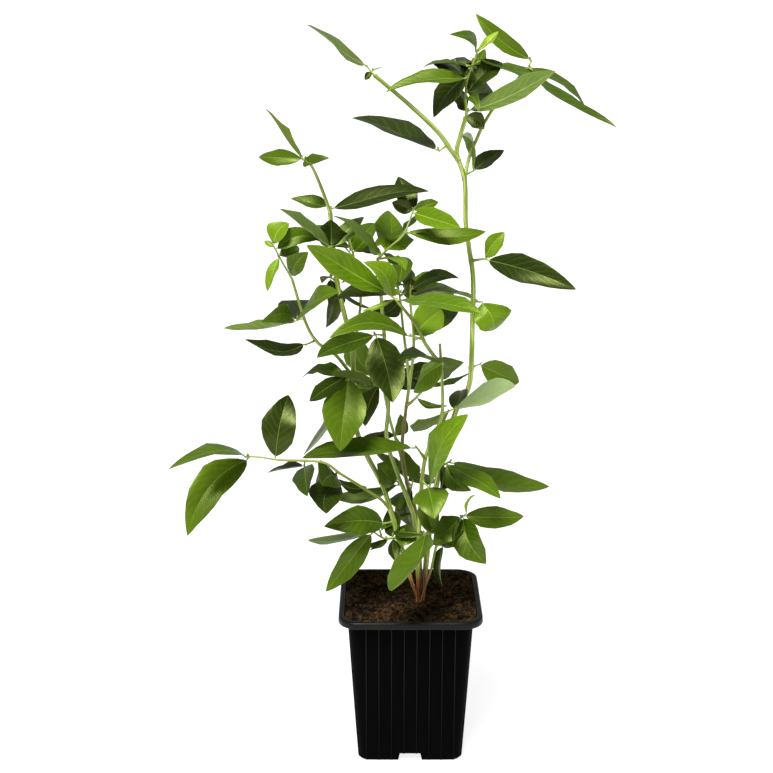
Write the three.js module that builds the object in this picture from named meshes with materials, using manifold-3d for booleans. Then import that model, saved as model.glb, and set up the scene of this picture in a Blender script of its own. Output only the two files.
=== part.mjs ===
// A young blueberry bush in a square nursery pot, about 46 cm tall.
// Millimetres, +Z up. The origin is the centre of the pot's flat underside, +X is the
// plant's right, -Y its front and +Y its back.
//
// The bush is grown, not drawn. Stems rise in a ring from the ground, boughs leave the
// stems, and every mass of leaves is one small leafy shoot of its own: a stem,
// the leading leaves that give it its outline, and more leaves dealt out by a seeded rule.
import * as THREE from 'three';
import { mergeVertices } from 'three/addons/utils/BufferGeometryUtils.js';
import Module from 'manifold-3d';

const wasm = await Module();
wasm.setup();

// ---------------------------------------------------------------- driving dimensions
const GAP = 0.3;                  // air between neighbouring solids

const POT_HEIGHT = 100;
const RIM_WIDTH = 90;             // across the flats of the rim
const RIM_CORNER = 12;
const RIM_SKIRT = 4.4;            // height of the rim
const COLLAR_HALF = 41.2;         // inside the rim the pot widens to this half width
const SHELF = 1;                  // thickness of the rim's underside
const BODY_TOP_WIDTH = 77.5;      // just under the rim
const BODY_BASE_WIDTH = 65;
const BODY_CORNER = 9;
const FOOT_CHAMFER = 1.4;
const WALL = 1.2;
const LIP_EDGE = 1;               // chamfer round the top of the rim
const CORNER_STEPS = 3;           // facets round each upright corner

const RIB_COUNT = 8;              // on each side
const RIB_PITCH = 7.2;
const RIB_FOOT = 1.7;             // width where the rib leaves the wall
const RIB_CREST = 0.8;
const RIB_HEIGHT = 0.7;

const NOTCH_WIDTH = 14.5;         // drainage notch in the middle of each foot
const NOTCH_HEIGHT = 4;
const NOTCH_DEPTH = 10;
const DRAIN_WIDTH = 6;            // a square hole in the roof of each notch
const DRAIN_INSET = 3.6;
const THROUGH = 2;                // a cutting body runs this far past what it cuts

const SOIL_LEVEL = 98.2;
const SOIL_CELLS = 8;             // the compost's top is a grid of this many squares a side
const SOIL_BUMP = 0.7;
// Ripples in the compost, each [turns across, turns along, start, share of the height].
const SOIL_RIPPLES = [[0.23, 0.12, 0.7, 0.6], [0.41, -0.37, 0, 0.4]];

const CROWN = { x: 6.4, y: -5.8, ring: 5 };   // the stems' feet stand on this ring
const CROWN_FLAT = 20;            // the compost is level this far round it,
const CROWN_SWELL = 10;           // and rises to its full ripple over this much more
const FLARE = 0.3;                // added to a stem's radius where it meets the ground

const LIMB_SIDES = 6;
const LIMB_STEP = 8;              // length of one facet along a limb
const SHOOT_STEP = 5;             // and along a shoot
const ELBOW = 2.5;                // a bough leaves its stem squarely for this far
const LEAST_FORK = 45;            // degrees between a shoot and what carries it

const SHOOT_RADIUS = 1.0;
const SHOOT_TIP_RADIUS = 0.6;
const SHOOT_SIDES = 5;
const SLIMMER = 0.95;             // a shoot is never thicker than this share of its carrier
const STALK_RADIUS = 0.55;
const STALK_SHARE = 0.05;         // a leaf's stalk, as a share of its length
const ROOT = 0.8;                 // no leaf starts nearer than this to its carrier's tip
const LEAF_THICKNESS = 0.016;     // at the midrib, as a share of the leaf's length
const LEAF_LEAST_THICKNESS = 0.9;
const LEAF_FOLD = 11;             // degrees each half stands up from the midrib
const LEAF_ARCH = 0.02;           // rise of the midrib over its chord, as a share of it
const LEAF_POINT = 0.25;          // least half width, so that no tip is a knife point
const LEAF_FACET = 12;            // length of one facet along a blade,
const LEAF_FACETS = [2, 4];       // which is at least and at most so many stations
const STALK_SIDES = 3;
// A side twig of the seeded rule, and the leaves on it, each [share of the twig, degrees off
// its bearing]. A pair of numbers is a least value and how much chance may add to it.
const TWIG = { share: [0.3, 0.6], rise: [5, 35], length: [9, 8], radii: [0.6, 0.5], sides: 4 };
const TWIG_LEAVES = [[0.55, 60], [1, -20]];
const TWIG_LEAF = { rise: [-25, 50], length: [24, 14], slimness: 0.4, roll: [-30, 60] };

const LEAF_CLEARANCE = 1.3;       // kept free on both sides of a blade's mid surface
const LIMB_CLEARANCE = 0.9;       // kept free round a limb's bark
const OUTLINE_STATIONS = [0.04, 0.2, 0.36, 0.52, 0.68, 0.84, 0.98];
const OUTLINE_STEP = 3;
// Turns that a leaf may try for room, as changes of bearing, rise and roll in degrees.
const TURNS = [[0, 0, 0], [0, 0, 15], [0, 0, -15], [0, 8, 0], [0, -8, 0], [8, 0, 0], [-8, 0, 0],
  [8, 8, 0], [-8, 8, 0], [8, -8, 0], [-8, -8, 0], [0, 0, 35], [0, 0, -35], [16, 0, 0], [-16, 0, 0],
  [0, 16, 0], [0, -16, 0], [16, 16, 0], [-16, 16, 0], [16, -16, 0], [-16, -16, 0]];

const SEED = 4127;

// ---------------------------------------------------------------- colours
const FINISH = {
  pot: { color: 0x141414, roughness: 0.5, metalness: 0 },
  compost: { color: 0x33251a, roughness: 1, metalness: 0 },
  bark: { color: 0x86783d, roughness: 0.8, metalness: 0 },
  leaf: { color: 0x4d7a2a, roughness: 0.6, metalness: 0 },
};

// ---------------------------------------------------------------- the growth chart
// A limb: what carries it ('ground' and the foot's bearing on the ring, or a limb and the
// share of its length), the radii of its foot and tip, and the few places it passes.
const LIMBS = {
  stem_right: { on: ['ground', 0], radii: [1.9, 1.3],
    course: [[13, 0, 150], [19, 4, 186], [24, 7, 204], [29, 9, 221], [37, 11, 238], [38, 10, 277],
      [38, 9, 304], [35, 8, 324], [33, 8, 338], [32, 8, 364], [27, 7, 380], [29, 7, 391], [32, 6, 402]] },
  stem_low_right: { on: ['ground', 300], radii: [0.9, 0.8],
    course: [[13, -13, 122], [17, -14, 141], [24, -15, 152], [30, -15, 157]] },
  stem_front: { on: ['ground', 240], radii: [1.7, 0.8],
    course: [[5, -13, 140], [7, -18, 185], [10, -20, 203], [16, -20, 217], [19, -20, 230],
      [18, -20, 255], [17, -20, 270]] },
  stem_left: { on: ['ground', 180], radii: [1.7, 1.2],
    course: [[0, -9, 116], [-8, -7, 144], [-17, -4, 174], [-27, -2, 194], [-34, -1, 213],
      [-35, 0, 242], [-37, 0, 267], [-45, 1, 304], [-49, 5, 345]] },
  stem_middle: { on: ['ground', 120], radii: [1.5, 1.0],
    course: [[3, -3, 147], [-1, -4, 164], [-8, -6, 183], [-15, -7, 207], [-14, -5, 236], [-20, 2, 316]] },
  stem_back: { on: ['ground', 60], radii: [1.5, 0.8],
    course: [[4, 14, 148], [-1, 16, 166], [-5, 19, 190], [-3, 20, 215], [2, 18, 258], [0, 18, 286]] },
  bough_top_left: { on: ['stem_right', 0.918], radii: [1.1, 0.9],
    course: [[23, 4, 383], [15, 2, 394], [-2, -1, 410], [-22, -6, 427]] },
  bough_top_right: { on: ['stem_right', 0.879], radii: [1.1, 0.9],
    course: [[35, 14, 378], [39, 18, 387], [44, 22, 397], [53, 26, 410], [69, 30, 428]] },
  bough_front: { on: ['stem_front', 0.93], radii: [1.2, 0.9],
    course: [[14, -21, 262], [8, -23, 271], [2, -24, 283], [-8, -24, 296]] },
  bough_left: { on: ['stem_left', 0.598], radii: [1.1, 0.8],
    course: [[-46, -4, 259], [-57, -8, 268], [-64, -12, 282], [-71, -14, 307]] },
  bough_rear_left: { on: ['stem_left', 0.618], radii: [1.0, 0.8],
    course: [[-34, 12, 265], [-31, 20, 290], [-35, 20, 312]] },
  bough_low_left: { on: ['stem_left', 0.25], radii: [1.1, 0.9],
    course: [[-19, -9, 168], [-28, -14, 176], [-43, -26, 190], [-54, -31, 199], [-79, -36, 202]] },
  bough_rear_low: { on: ['stem_back', 0.406], radii: [1.1, 0.9],
    course: [[-6, 34, 184], [-12, 48, 200], [-16, 58, 216]] },
  bough_rear_high: { on: ['stem_back', 0.732], radii: [1.0, 0.8],
    course: [[-2, 32, 248], [-4, 42, 262], [-6, 50, 280]] },
};

// A mass of leaves: what carries it, its shoot as [bearing, rise, length] steps, its
// leading leaves, and how many more the seeded rule adds, about which bearing and how
// widely. A leaf: share of the shoot, bearing, rise, length, width, roll about its own
// length and, where it is bowed, its arch and its sway to the side. Bearings are degrees
// round from +X by way of +Y, rises degrees above level.
const MASSES = {
  leaves_top: { on: ['stem_right', 1], shoot: [[-100, 83, 18], [0, 72, 20]],
    lead: [[0.1, -30, 24, 62, 17, 52, -0.08], [0.1, 109, 37, 19, 10, -63, -0.01, 0.06],
      [0.3, -74, -14, 25, 7, 31, 0.13, -0.1], [0.4, 56, -5, 33, 18, 78, -0.1, -0.01],
      [0.36, 25, 36, 30, 17, 37, 0.08, -0.03], [0.52, 111, 9, 49, 24, -12, 0.09, 0.06],
      [0.6, -145, -7, 58, 16, -21, 0.09, -0.05], [0.66, 172, -51, 33, 18, -53, -0.01, 0.11],
      [0.78, 66, 23, 23, 7, 22, -0.07, 0.04], [0.9, 40, -9, 58, 17, 20, -0.06, 0.09],
      [1, -130, 20, 30, 7, -73, 0.14, 0.07], [1, 21, 41, 18, 7, 20, 0.01, 0.05]],
    more: [1, 100, 90] },
  leaves_top_right: { on: ['bough_top_right', 1], shoot: [[29, 54, 6]],
    lead: [[1, 178, 39, 44, 11, -71, 0.07, -0.09], [0.4, -8, -37, 45, 18, 13, 0.08, -0.05],
      [0.3, -48, -24, 77, 13, -1, -0.05, 0.12]],
    more: [0, 0, 0] },
  leaves_top_left: { on: ['bough_top_left', 1], shoot: [[180, 53, 6]],
    lead: [[0.9, -164, 34, 44, 19, -24, -0.02, -0.07], [0.4, 24, 13, 8, 4, -8, 0.02, 0.02],
      [0.4, -132, -43, 7, 4, -49, -0.01, 0.01]],
    more: [0, 0, 0] },
  leaves_top_inner_left: { on: ['bough_top_left', 0.16], shoot: [[-127, -18, 6]],
    lead: [[1, 147, 13, 69, 25, -4, 0.02, -0.12]],
    more: [0, 0, 0] },
  leaves_top_inner_right: { on: ['stem_right', 0.884], shoot: [[-43, 26, 6]],
    lead: [[1, 51, 17, 33, 12, 23, -0.07, -0.07], [0.9, 97, 22, 45, 11, -84, -0.09, 0.12]],
    more: [0, 0, 0] },
  leaves_right_spur: { on: ['stem_right', 0.718], shoot: [[-39, 14, 8]],
    lead: [[1, -21, -14, 59, 18, 46, 0.11, 0.02], [0.95, 41, 41, 22, 11, 65, -0.07, -0.05]],
    more: [0, 0, 0] },
  leaves_right_middle: { on: ['stem_right', 0.637], shoot: [[40, -10, 5]],
    lead: [[1, 10, -65, 20, 23, 94, 0.26, -0.08]],
    more: [0, 0, 0] },
  leaves_right_low: { on: ['stem_right', 0.502], shoot: [[45, 7, 5]],
    lead: [[0.9, 26, -27, 33, 17, 86, -0.04, 0.02]],
    more: [0, 0, 0] },
  leaves_right_foot: { on: ['stem_right', 0.291], shoot: [[-60, 31, 8]],
    lead: [[0.5, -55, -8, 55, 14, 22, -0.03, -0.04], [1, 6, -13, 67, 28, 12, -0.1, 0.07],
      [0.5, -37, -35, 24, 12, 71, 0.09, 0.12]],
    more: [1, 90, 60] },
  leaves_front_side: { on: ['stem_front', 0.752], shoot: [[-26, 28, 6]],
    lead: [[1, -34, 26, 47, 23, 29, -0.07, -0.06], [0.9, 80, 5, 33, 12, -17, -0.02, 0.06],
      [0.4, 114, -28, 57, 18, 7, -0.06, -0.05]],
    more: [0, 0, 0] },
  leaves_front_top: { on: ['stem_front', 0.9], shoot: [[-85, 50, 7]],
    lead: [[1, -129, -23, 31, 17, -86, -0.12, 0.03], [0.6, 71, -11, 47, 14, 72, -0.12, 0.02],
      [1, -127, 13, 47, 16, -8, 0.02, -0.02]],
    more: [0, 0, 0] },
  leaves_front_heart: { on: ['bough_front', 1], shoot: [[154, 35, 8]],
    lead: [[1, -157, 32, 60, 17, -73, -0.1, 0.02], [0.5, -158, 50, 29, 14, -72, 0.12, 0.12],
      [0.25, -40, 0, 64, 20, 12, 0.04, 0.06], [0.6, 53, 29, 7, 4, 51, 0.02, 0.05]],
    more: [1, 110, 60] },
  leaves_front_fork: { on: ['bough_front', 0.42], shoot: [[-150, 25, 5]],
    lead: [[1, -154, 4, 54, 13, -47, 0.1, 0.12], [0.7, 64, 11, 42, 19, 45, -0.02, -0.03]],
    more: [0, 0, 0] },
  leaves_front_low: { on: ['stem_front', 0.495], shoot: [[-60, -14, 7]],
    lead: [[0.8, -38, 61, 59, 24, 61, 0.09, -0.02], [0.6, -86, -20, 30, 22, 14, 0.1, -0.07],
      [0.8, 60, -76, 34, 14, 139, 0.04, 0.09]],
    more: [0, 0, 0] },
  leaves_front_left: { on: ['stem_front', 0.58], shoot: [[-125, 46, 10]],
    lead: [[1, 174, -5, 75, 27, -6, -0.02]],
    more: [0, 0, 0] },
  leaves_back_top: { on: ['stem_back', 1], shoot: [[91, 84, 9]],
    lead: [[0.4, 89, 50, 14, 9, -5, -0.01], [0.5, 11, -8, 45, 21, -4, 0.09, -0.04],
      [0.9, -6, 14, 31, 13, 34, 0.11, -0.04]],
    more: [2, 110, 120] },
  leaves_back_side: { on: ['stem_back', 0.885], shoot: [[20, 15, 6]],
    lead: [[1, 46, 23, 34, 14, 25, 0.08, -0.01]],
    more: [1, 80, 60] },
  leaves_back_middle: { on: ['stem_back', 0.665], shoot: [[-16, 48, 11], [-48, 65, 6]],
    lead: [[0.85, 19, 12, 32, 9, 5, -0.07, 0.09], [0.3, -24, -7, 22, 5, 38, -0.12, 0.12],
      [1, 104, 58, 8, 3, 5]],
    more: [0, 0, 0] },
  leaves_back_low: { on: ['stem_back', 0.526], shoot: [[126, 38, 6]],
    lead: [[1, 139, -16, 32, 12, -16, 0], [0.8, 78, 38, 18, 10, 42, -0.03, 0.14]],
    more: [0, 0, 0] },
  leaves_back_foot: { on: ['stem_back', 0.372], shoot: [[70, 40, 6]],
    lead: [[1, 104, 32, 26, 15, 18, -0.14, 0.02]],
    more: [2, 80, 90] },
  leaves_middle_top: { on: ['stem_middle', 1], shoot: [[-8, 46, 10], [-7, 44, 12], [0, 68, 16]],
    lead: [[0.34, 99, 34, 29, 22, 12, -0.12, 0.08], [0.97, 164, 20, 14, 9, -82, -0.06, 0.03],
      [1, 21, 15, 17, 8, 48, 0.01, 0.01], [0.95, -45, -7, 39, 13, 52, -0.01],
      [0.63, 2, 0, 49, 14, 37, 0.02, 0.13], [0.14, 124, -4, 21, 8, -38, 0.14, -0.01],
      [0.16, 49, -21, 20, 6, 77, -0.05, 0.08], [0.1, -157, 41, 40, 20, -28, 0.03, -0.03],
      [0.97, 114, 41, 28, 14, -12, -0.08, 0.01]],
    more: [1, 100, 80] },
  leaves_middle_front: { on: ['stem_middle', 0.798], shoot: [[-125, 15, 7]],
    lead: [[1, -70, -50, 46, 23, 23, -0.1, -0.03], [0.9, -130, -5, 53, 13, -45, -0.1, 0.06]],
    more: [0, 0, 0] },
  leaves_middle_side: { on: ['stem_middle', 0.634], shoot: [[-160, 52, 6]],
    lead: [[1, -140, -66, 27, 13, -26, 0.01, 0.06]],
    more: [1, 120, 60] },
  leaves_middle_low: { on: ['stem_middle', 0.359], shoot: [[125, 20, 6]],
    lead: [[0.9, 103, 17, 31, 19, -59, 0.09, -0.08], [1, -144, 2, 55, 14, -18, -0.08, -0.11]],
    more: [0, 0, 0] },
  leaves_left_top: { on: ['stem_left', 1], shoot: [[164, 69, 15], [180, 66, 14], [180, 38, 7]],
    lead: [[0.08, -11, 8, 64, 17, 30, 0.11, 0.05], [0.12, 159, 8, 25, 11, -35, -0.12, 0.08],
      [0.97, -41, 6, 21, 11, 39, -0.03, 0.2], [0.98, 161, 0, 29, 10, -74, 0.04],
      [1, -158, 53, 38, 11, 4, -0.02, 0.11]],
    more: [0, 0, 0] },
  leaves_left_high: { on: ['stem_left', 0.898], shoot: [[-101, 45, 6]],
    lead: [[0.8, -138, 35, 47, 16, -45, 0, -0.02], [1, 93, 64, 17, 18, 23, 0],
      [0.9, 44, 30, 31, 11, 32, 0.04, -0.01]],
    more: [1, 110, 40] },
  leaves_left_middle: { on: ['stem_left', 0.835], shoot: [[122, 15, 5]],
    lead: [[1, 107, -19, 24, 11, -17, 0.03, 0.12]],
    more: [0, 0, 0] },
  leaves_left_node: { on: ['stem_left', 0.593], shoot: [[-120, 30, 6]],
    lead: [[0.6, -102, -60, 47, 26, -13, 0.03, 0.01], [1, -135, -18, 33, 11, -46, -0.08, 0.04],
      [1, 154, -9, 32, 12, -25, 0.11, 0.04], [0.5, 141, -56, 70, 21, -45, -0.06, -0.09]],
    more: [0, 0, 0] },
  leaves_rear_left: { on: ['bough_rear_left', 1], shoot: [[-88, 76, 6]],
    lead: [[0.9, 62, 23, 24, 12, 43, 0.02, 0.01]],
    more: [2, 100, 100] },
  leaves_outer_left: { on: ['bough_left', 1], shoot: [[-180, 61, 13], [180, 63, 11]],
    lead: [[0.97, 19, 51, 16, 14, 42, 0.14, -0.1], [0.86, 12, 10, 27, 12, 59, 0.03, -0.17],
      [0.67, 56, 7, 20, 9, 52, -0.03, -0.01], [0.9, 147, 23, 8, 4, -37, -0.01, -0.02],
      [0.66, -120, -56, 23, 9, 11, 0.04, -0.02], [0.13, -35, 50, 21, 12, 99, 0.08, -0.07]],
    more: [0, 0, 0] },
  leaves_outer_middle: { on: ['bough_left', 0.69], shoot: [[-144, -10, 5]],
    lead: [[1, -122, 10, 34, 12, -75, 0.12, 0.12], [1, 179, -6, 43, 15, -6, -0.04, -0.11],
      [0.9, 118, -4, 14, 6, -55, -0.02], [0.6, -46, 31, 44, 20, 42, 0.03, -0.01],
      [0.6, 78, 5, 42, 27, -6, -0.01, -0.11]],
    more: [0, 0, 0] },
  leaves_outer_low: { on: ['bough_left', 0.47], shoot: [[-140, -12, 5]],
    lead: [[1, -152, 11, 39, 16, -26, -0.03, -0.19]],
    more: [0, 0, 0] },
  leaves_low_left_tip: { on: ['bough_low_left', 1], shoot: [[-168, 13, 10], [-165, 9, 8]],
    lead: [[1, -174, -7, 48, 28, -14, 0.1, -0.03], [0.97, -144, -44, 59, 22, -34, 0.13, 0.08],
      [0.15, 64, 64, 40, 21, 27, 0.17, -0.03]],
    more: [0, 0, 0] },
  leaves_low_left_middle: { on: ['bough_low_left', 0.83], shoot: [[100, -45, 5]],
    lead: [[1, 146, -19, 30, 10, -11, 0, 0.01], [1, -84, -12, 36, 15, 32, 0.06, -0.03]],
    more: [0, 0, 0] },
  leaves_low_left_inner: { on: ['bough_low_left', 0.58], shoot: [[83, -50, 7]],
    lead: [[1, -127, -40, 23, 30, -11, 0.01, -0.05], [0.6, 113, -22, 41, 19, -96, -0.12, 0.08]],
    more: [1, 100, 60] },
  leaves_foot_left_high: { on: ['stem_left', 0.22], shoot: [[-133, 8, 5]],
    lead: [[1, -152, 7, 43, 18, -67, 0.11, 0.05]],
    more: [0, 0, 0] },
  leaves_foot_left: { on: ['stem_left', 0.177], shoot: [[-147, 11, 8], [-164, 37, 9]],
    lead: [[1, -154, 1, 40, 18, -3, 0.02, -0.01], [1, -141, -39, 48, 16, -69, -0.05, -0.01],
      [0.3, -161, -15, 19, 7, -1, -0.11, 0.08]],
    more: [1, 90, 60] },
  leaves_foot_front: { on: ['stem_front', 0.27], shoot: [[-40, 40, 8]],
    lead: [[1, -109, -9, 76, 22, 23, -0.11, 0.07], [0.4, 144, -10, 26, 10, -38, 0.1, -0.07]],
    more: [0, 0, 0] },
  leaves_low_right_tip: { on: ['stem_low_right', 1], shoot: [[-29, 39, 5]],
    lead: [[0.5, -27, 9, 41, 14, 75, -0.1, 0.03], [0.4, -142, -30, 27, 16, -39, 0.03, -0.01],
      [0.4, -48, -50, 32, 18, 58, 0.14, 0.07], [1, 42, 50, 14, 7, -57, 0.1, -0.01]],
    more: [0, 0, 0] },
  leaves_low_right_middle: { on: ['stem_low_right', 0.649], shoot: [[34, -10, 5]],
    lead: [[1, 64, 2, 18, 12, 57, -0.02, -0.04], [0.6, -145, -85, 22, 7, -14, 0.12, 0.07]],
    more: [0, 0, 0] },
  leaves_rear_low: { on: ['bough_rear_low', 1], shoot: [[110, 45, 12]],
    lead: [[1, 108, 25, 49, 19, -11, 0, -0.19], [0.5, 172, -10, 40, 16, -39, 0.07, -0.03],
      [0.6, 30, -8, 36, 16, 28]],
    more: [3, 110, 200] },
  leaves_rear_high: { on: ['bough_rear_high', 1], shoot: [[100, 50, 12]],
    lead: [[1, 88, 18, 40, 13, 6, 0.06, 0.04], [0.5, 167, -6, 43, 15, -22, 0.1],
      [0.6, 19, -4, 39, 18, 65, 0.03, 0.03]],
    more: [4, 100, 200] },
};

// ---------------------------------------------------------------- directions and chance
const radians = THREE.MathUtils.degToRad;
const UP = new THREE.Vector3(0, 0, 1);

function heading(bearing, rise) {
  const level = Math.cos(radians(rise));
  return new THREE.Vector3(
    level * Math.cos(radians(bearing)), level * Math.sin(radians(bearing)), Math.sin(radians(rise)));
}

// A small repeatable source of chance, so the bush grows the same way every time.
function dice(seed) {
  let state = seed;
  return () => {
    state = (state + 0x6d2b79f5) >>> 0;
    let mixed = Math.imul(state ^ (state >>> 15), state | 1);
    mixed ^= mixed + Math.imul(mixed ^ (mixed >>> 7), mixed | 61);
    return ((mixed ^ (mixed >>> 14)) >>> 0) / 4294967296;
  };
}

// ---------------------------------------------------------------- closed bodies from rings
// Rings of equal counts are skinned and closed at both ends; a last ring of one point
// closes as a tip. Seen from the far end of the path, a ring runs anticlockwise.
function loft(rings) {
  const count = rings[0].length;
  const points = rings.flat();
  const faces = [];
  for (let j = 0; j + 1 < rings.length; j += 1) {
    const tip = rings[j + 1].length === 1;
    for (let i = 0; i < count; i += 1) {
      const here = j * count + i;
      const next = j * count + (i + 1) % count;
      if (tip) {
        faces.push(here, next, (j + 1) * count);
      } else {
        faces.push(here, next, next + count, here, next + count, here + count);
      }
    }
  }
  const last = points.length - rings.at(-1).length;
  closeRing(faces, points, 0, rings[0], false);
  closeRing(faces, points, last, rings.at(-1), true);
  const geometry = new THREE.BufferGeometry().setFromPoints(points);
  geometry.setIndex(faces);
  return geometry;
}

// A small ring is closed by a fan from its first point, a large one from its centre.
function closeRing(faces, points, start, ring, outward) {
  if (ring.length === 1) {
    return;
  }
  const large = ring.length > 8;
  const fanFrom = large ? points.length : start;
  if (large) {
    points.push(ring.reduce((sum, p) => sum.add(p), new THREE.Vector3()).divideScalar(ring.length));
  }
  for (let i = 0; i < ring.length; i += 1) {
    const here = start + i;
    const next = start + (i + 1) % ring.length;
    if (here !== fanFrom && next !== fanFrom) {
      faces.push(fanFrom, outward ? here : next, outward ? next : here);
    }
  }
}

function solid(geometry) {
  const bare = geometry.clone();
  bare.deleteAttribute('normal');
  bare.deleteAttribute('uv');
  const merged = mergeVertices(bare, 1e-4);
  return new wasm.Manifold(new wasm.Mesh({
    numProp: 3,
    vertProperties: Float32Array.from(merged.attributes.position.array),
    triVerts: Uint32Array.from(merged.index.array),
  }));
}

function box(width, depth, height, x, y, z) {
  return solid(new THREE.BoxGeometry(width, depth, height).translate(x, y, z));
}

function joined(solids) {
  return solids.reduce((whole, piece) => whole.add(piece));
}

function meshOf(name, body, finish) {
  const { numProp, vertProperties, triVerts } = body.getMesh();
  const geometry = new THREE.BufferGeometry();
  const place = new THREE.BufferAttribute(Float32Array.from(vertProperties), numProp);
  geometry.setAttribute('position', place);
  geometry.setIndex(Array.from(triVerts));
  geometry.computeVertexNormals();
  const mesh = new THREE.Mesh(geometry, new THREE.MeshStandardMaterial(FINISH[finish]));
  mesh.name = name;
  return mesh;
}

// ---------------------------------------------------------------- the pot
// One rounded square at a height. Where ribs is over 0, each side carries the ribs,
// standing out by that much.
function squareRing(half, corner, z, ribs = null) {
  const ring = [];
  for (let side = 0; side < 4; side += 1) {
    const turn = side * Math.PI / 2;
    const put = (along, out) => ring.push(new THREE.Vector3(
      out * Math.cos(turn) - along * Math.sin(turn), out * Math.sin(turn) + along * Math.cos(turn), z));
    if (ribs !== null) {
      for (let k = 0; k < RIB_COUNT; k += 1) {
        const middle = (k - (RIB_COUNT - 1) / 2) * RIB_PITCH * half / (BODY_TOP_WIDTH / 2);
        put(middle - RIB_FOOT / 2, half);
        put(middle - RIB_CREST / 2, half + ribs);
        put(middle + RIB_CREST / 2, half + ribs);
        put(middle + RIB_FOOT / 2, half);
      }
    }
    for (let k = 0; k <= CORNER_STEPS; k += 1) {
      const angle = (k / CORNER_STEPS) * Math.PI / 2;
      put(half - corner + corner * Math.sin(angle), half - corner + corner * Math.cos(angle));
    }
  }
  return ring;
}

function bodyHalf(z) {
  return (BODY_BASE_WIDTH + (BODY_TOP_WIDTH - BODY_BASE_WIDTH) * z / (POT_HEIGHT - RIM_SKIRT)) / 2;
}

function tower(levels) {
  return solid(loft(levels.map(([z, half, corner, ribs]) => squareRing(half, corner, z, ribs))));
}

// A box in the middle of each of the four sides, its outer face at the given reach.
function onEachSide(width, depth, height, reach, z) {
  const boxes = [];
  for (const [x, y] of [[1, 0], [0, 1], [-1, 0], [0, -1]]) {
    const middle = reach - depth / 2;
    boxes.push(x !== 0
      ? box(depth, width, height, x * middle, 0, z)
      : box(width, depth, height, 0, y * middle, z));
  }
  return joined(boxes);
}

function makePot() {
  const ribHead = POT_HEIGHT - RIM_SKIRT / 2;
  const outer = tower([
    [0, bodyHalf(0) - FOOT_CHAMFER, BODY_CORNER, 0],
    [FOOT_CHAMFER, bodyHalf(FOOT_CHAMFER), BODY_CORNER, RIB_HEIGHT],
    [ribHead, bodyHalf(ribHead), BODY_CORNER, RIB_HEIGHT],
    [POT_HEIGHT, bodyHalf(POT_HEIGHT), BODY_CORNER, 0],
  ]);
  const rimHalf = RIM_WIDTH / 2;
  const lip = tower([
    [POT_HEIGHT - RIM_SKIRT, rimHalf, RIM_CORNER],
    [POT_HEIGHT - LIP_EDGE, rimHalf, RIM_CORNER],
    [POT_HEIGHT, rimHalf - LIP_EDGE, RIM_CORNER - LIP_EDGE],
  ]);
  const cavity = tower([
    [WALL, bodyHalf(WALL) - WALL, BODY_CORNER - WALL],
    [POT_HEIGHT + THROUGH, bodyHalf(POT_HEIGHT + THROUGH) - WALL, BODY_CORNER - WALL],
  ]).add(tower([
    [POT_HEIGHT - RIM_SKIRT + SHELF, COLLAR_HALF, BODY_CORNER],
    [POT_HEIGHT + THROUGH, COLLAR_HALF, BODY_CORNER],
  ]));
  const footReach = bodyHalf(0) + RIB_HEIGHT;
  const housing = onEachSide(
    NOTCH_WIDTH + 2 * WALL, NOTCH_DEPTH + WALL, NOTCH_HEIGHT + WALL,
    footReach, (NOTCH_HEIGHT + WALL) / 2).intersect(outer);
  const notch = onEachSide(
    NOTCH_WIDTH, NOTCH_DEPTH + THROUGH, NOTCH_HEIGHT + THROUGH,
    footReach + THROUGH, (NOTCH_HEIGHT - THROUGH) / 2);
  const drain = onEachSide(
    DRAIN_WIDTH, DRAIN_WIDTH, WALL + 2 * THROUGH, footReach - DRAIN_INSET, NOTCH_HEIGHT + WALL / 2);
  return outer.add(lip).subtract(cavity).add(housing).subtract(notch).subtract(drain);
}

// ---------------------------------------------------------------- the compost
// Low bumps that die away to a flat pad under the stems' feet.
function soilBump(x, y) {
  const fromCrown = Math.hypot(x - CROWN.x, y - CROWN.y);
  const swell = THREE.MathUtils.smoothstep(fromCrown, CROWN_FLAT, CROWN_FLAT + CROWN_SWELL);
  return SOIL_BUMP * swell * SOIL_RIPPLES.reduce(
    (sum, [across, along, start, share]) => sum + share * Math.sin(across * x + along * y + start), 0);
}

function makeCompost() {
  const inset = WALL + GAP;
  const fill = tower([
    [inset, bodyHalf(WALL) - inset, BODY_CORNER - inset],
    [POT_HEIGHT, bodyHalf(POT_HEIGHT) - inset, BODY_CORNER - inset],
  ]).add(tower([
    [POT_HEIGHT - RIM_SKIRT + SHELF + GAP, COLLAR_HALF - GAP, BODY_CORNER - GAP],
    [POT_HEIGHT, COLLAR_HALF - GAP, BODY_CORNER - GAP],
  ]));
  const slab = new THREE.BoxGeometry(RIM_WIDTH, RIM_WIDTH, SOIL_LEVEL, SOIL_CELLS, SOIL_CELLS, 1);
  slab.translate(0, 0, SOIL_LEVEL / 2);
  const place = slab.attributes.position;
  for (let i = 0; i < place.count; i += 1) {
    if (place.getZ(i) > SOIL_LEVEL / 2) {
      place.setZ(i, SOIL_LEVEL + soilBump(place.getX(i), place.getY(i)));
    }
  }
  const housings = onEachSide(
    NOTCH_WIDTH + 2 * inset, NOTCH_DEPTH + inset, NOTCH_HEIGHT + 2 * inset,
    bodyHalf(0) + RIB_HEIGHT, NOTCH_HEIGHT / 2);
  return fill.intersect(solid(slab)).subtract(housings);
}

// ---------------------------------------------------------------- limbs
function ringAbout(centre, tangent, guide, radius, sides) {
  const right = new THREE.Vector3().crossVectors(tangent, guide).normalize();
  const over = new THREE.Vector3().crossVectors(tangent, right);
  const ring = [];
  for (let i = 0; i < sides; i += 1) {
    const angle = 2 * Math.PI * i / sides;
    ring.push(centre.clone()
      .addScaledVector(right, radius * Math.cos(angle))
      .addScaledVector(over, radius * Math.sin(angle)));
  }
  return ring;
}

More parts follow.
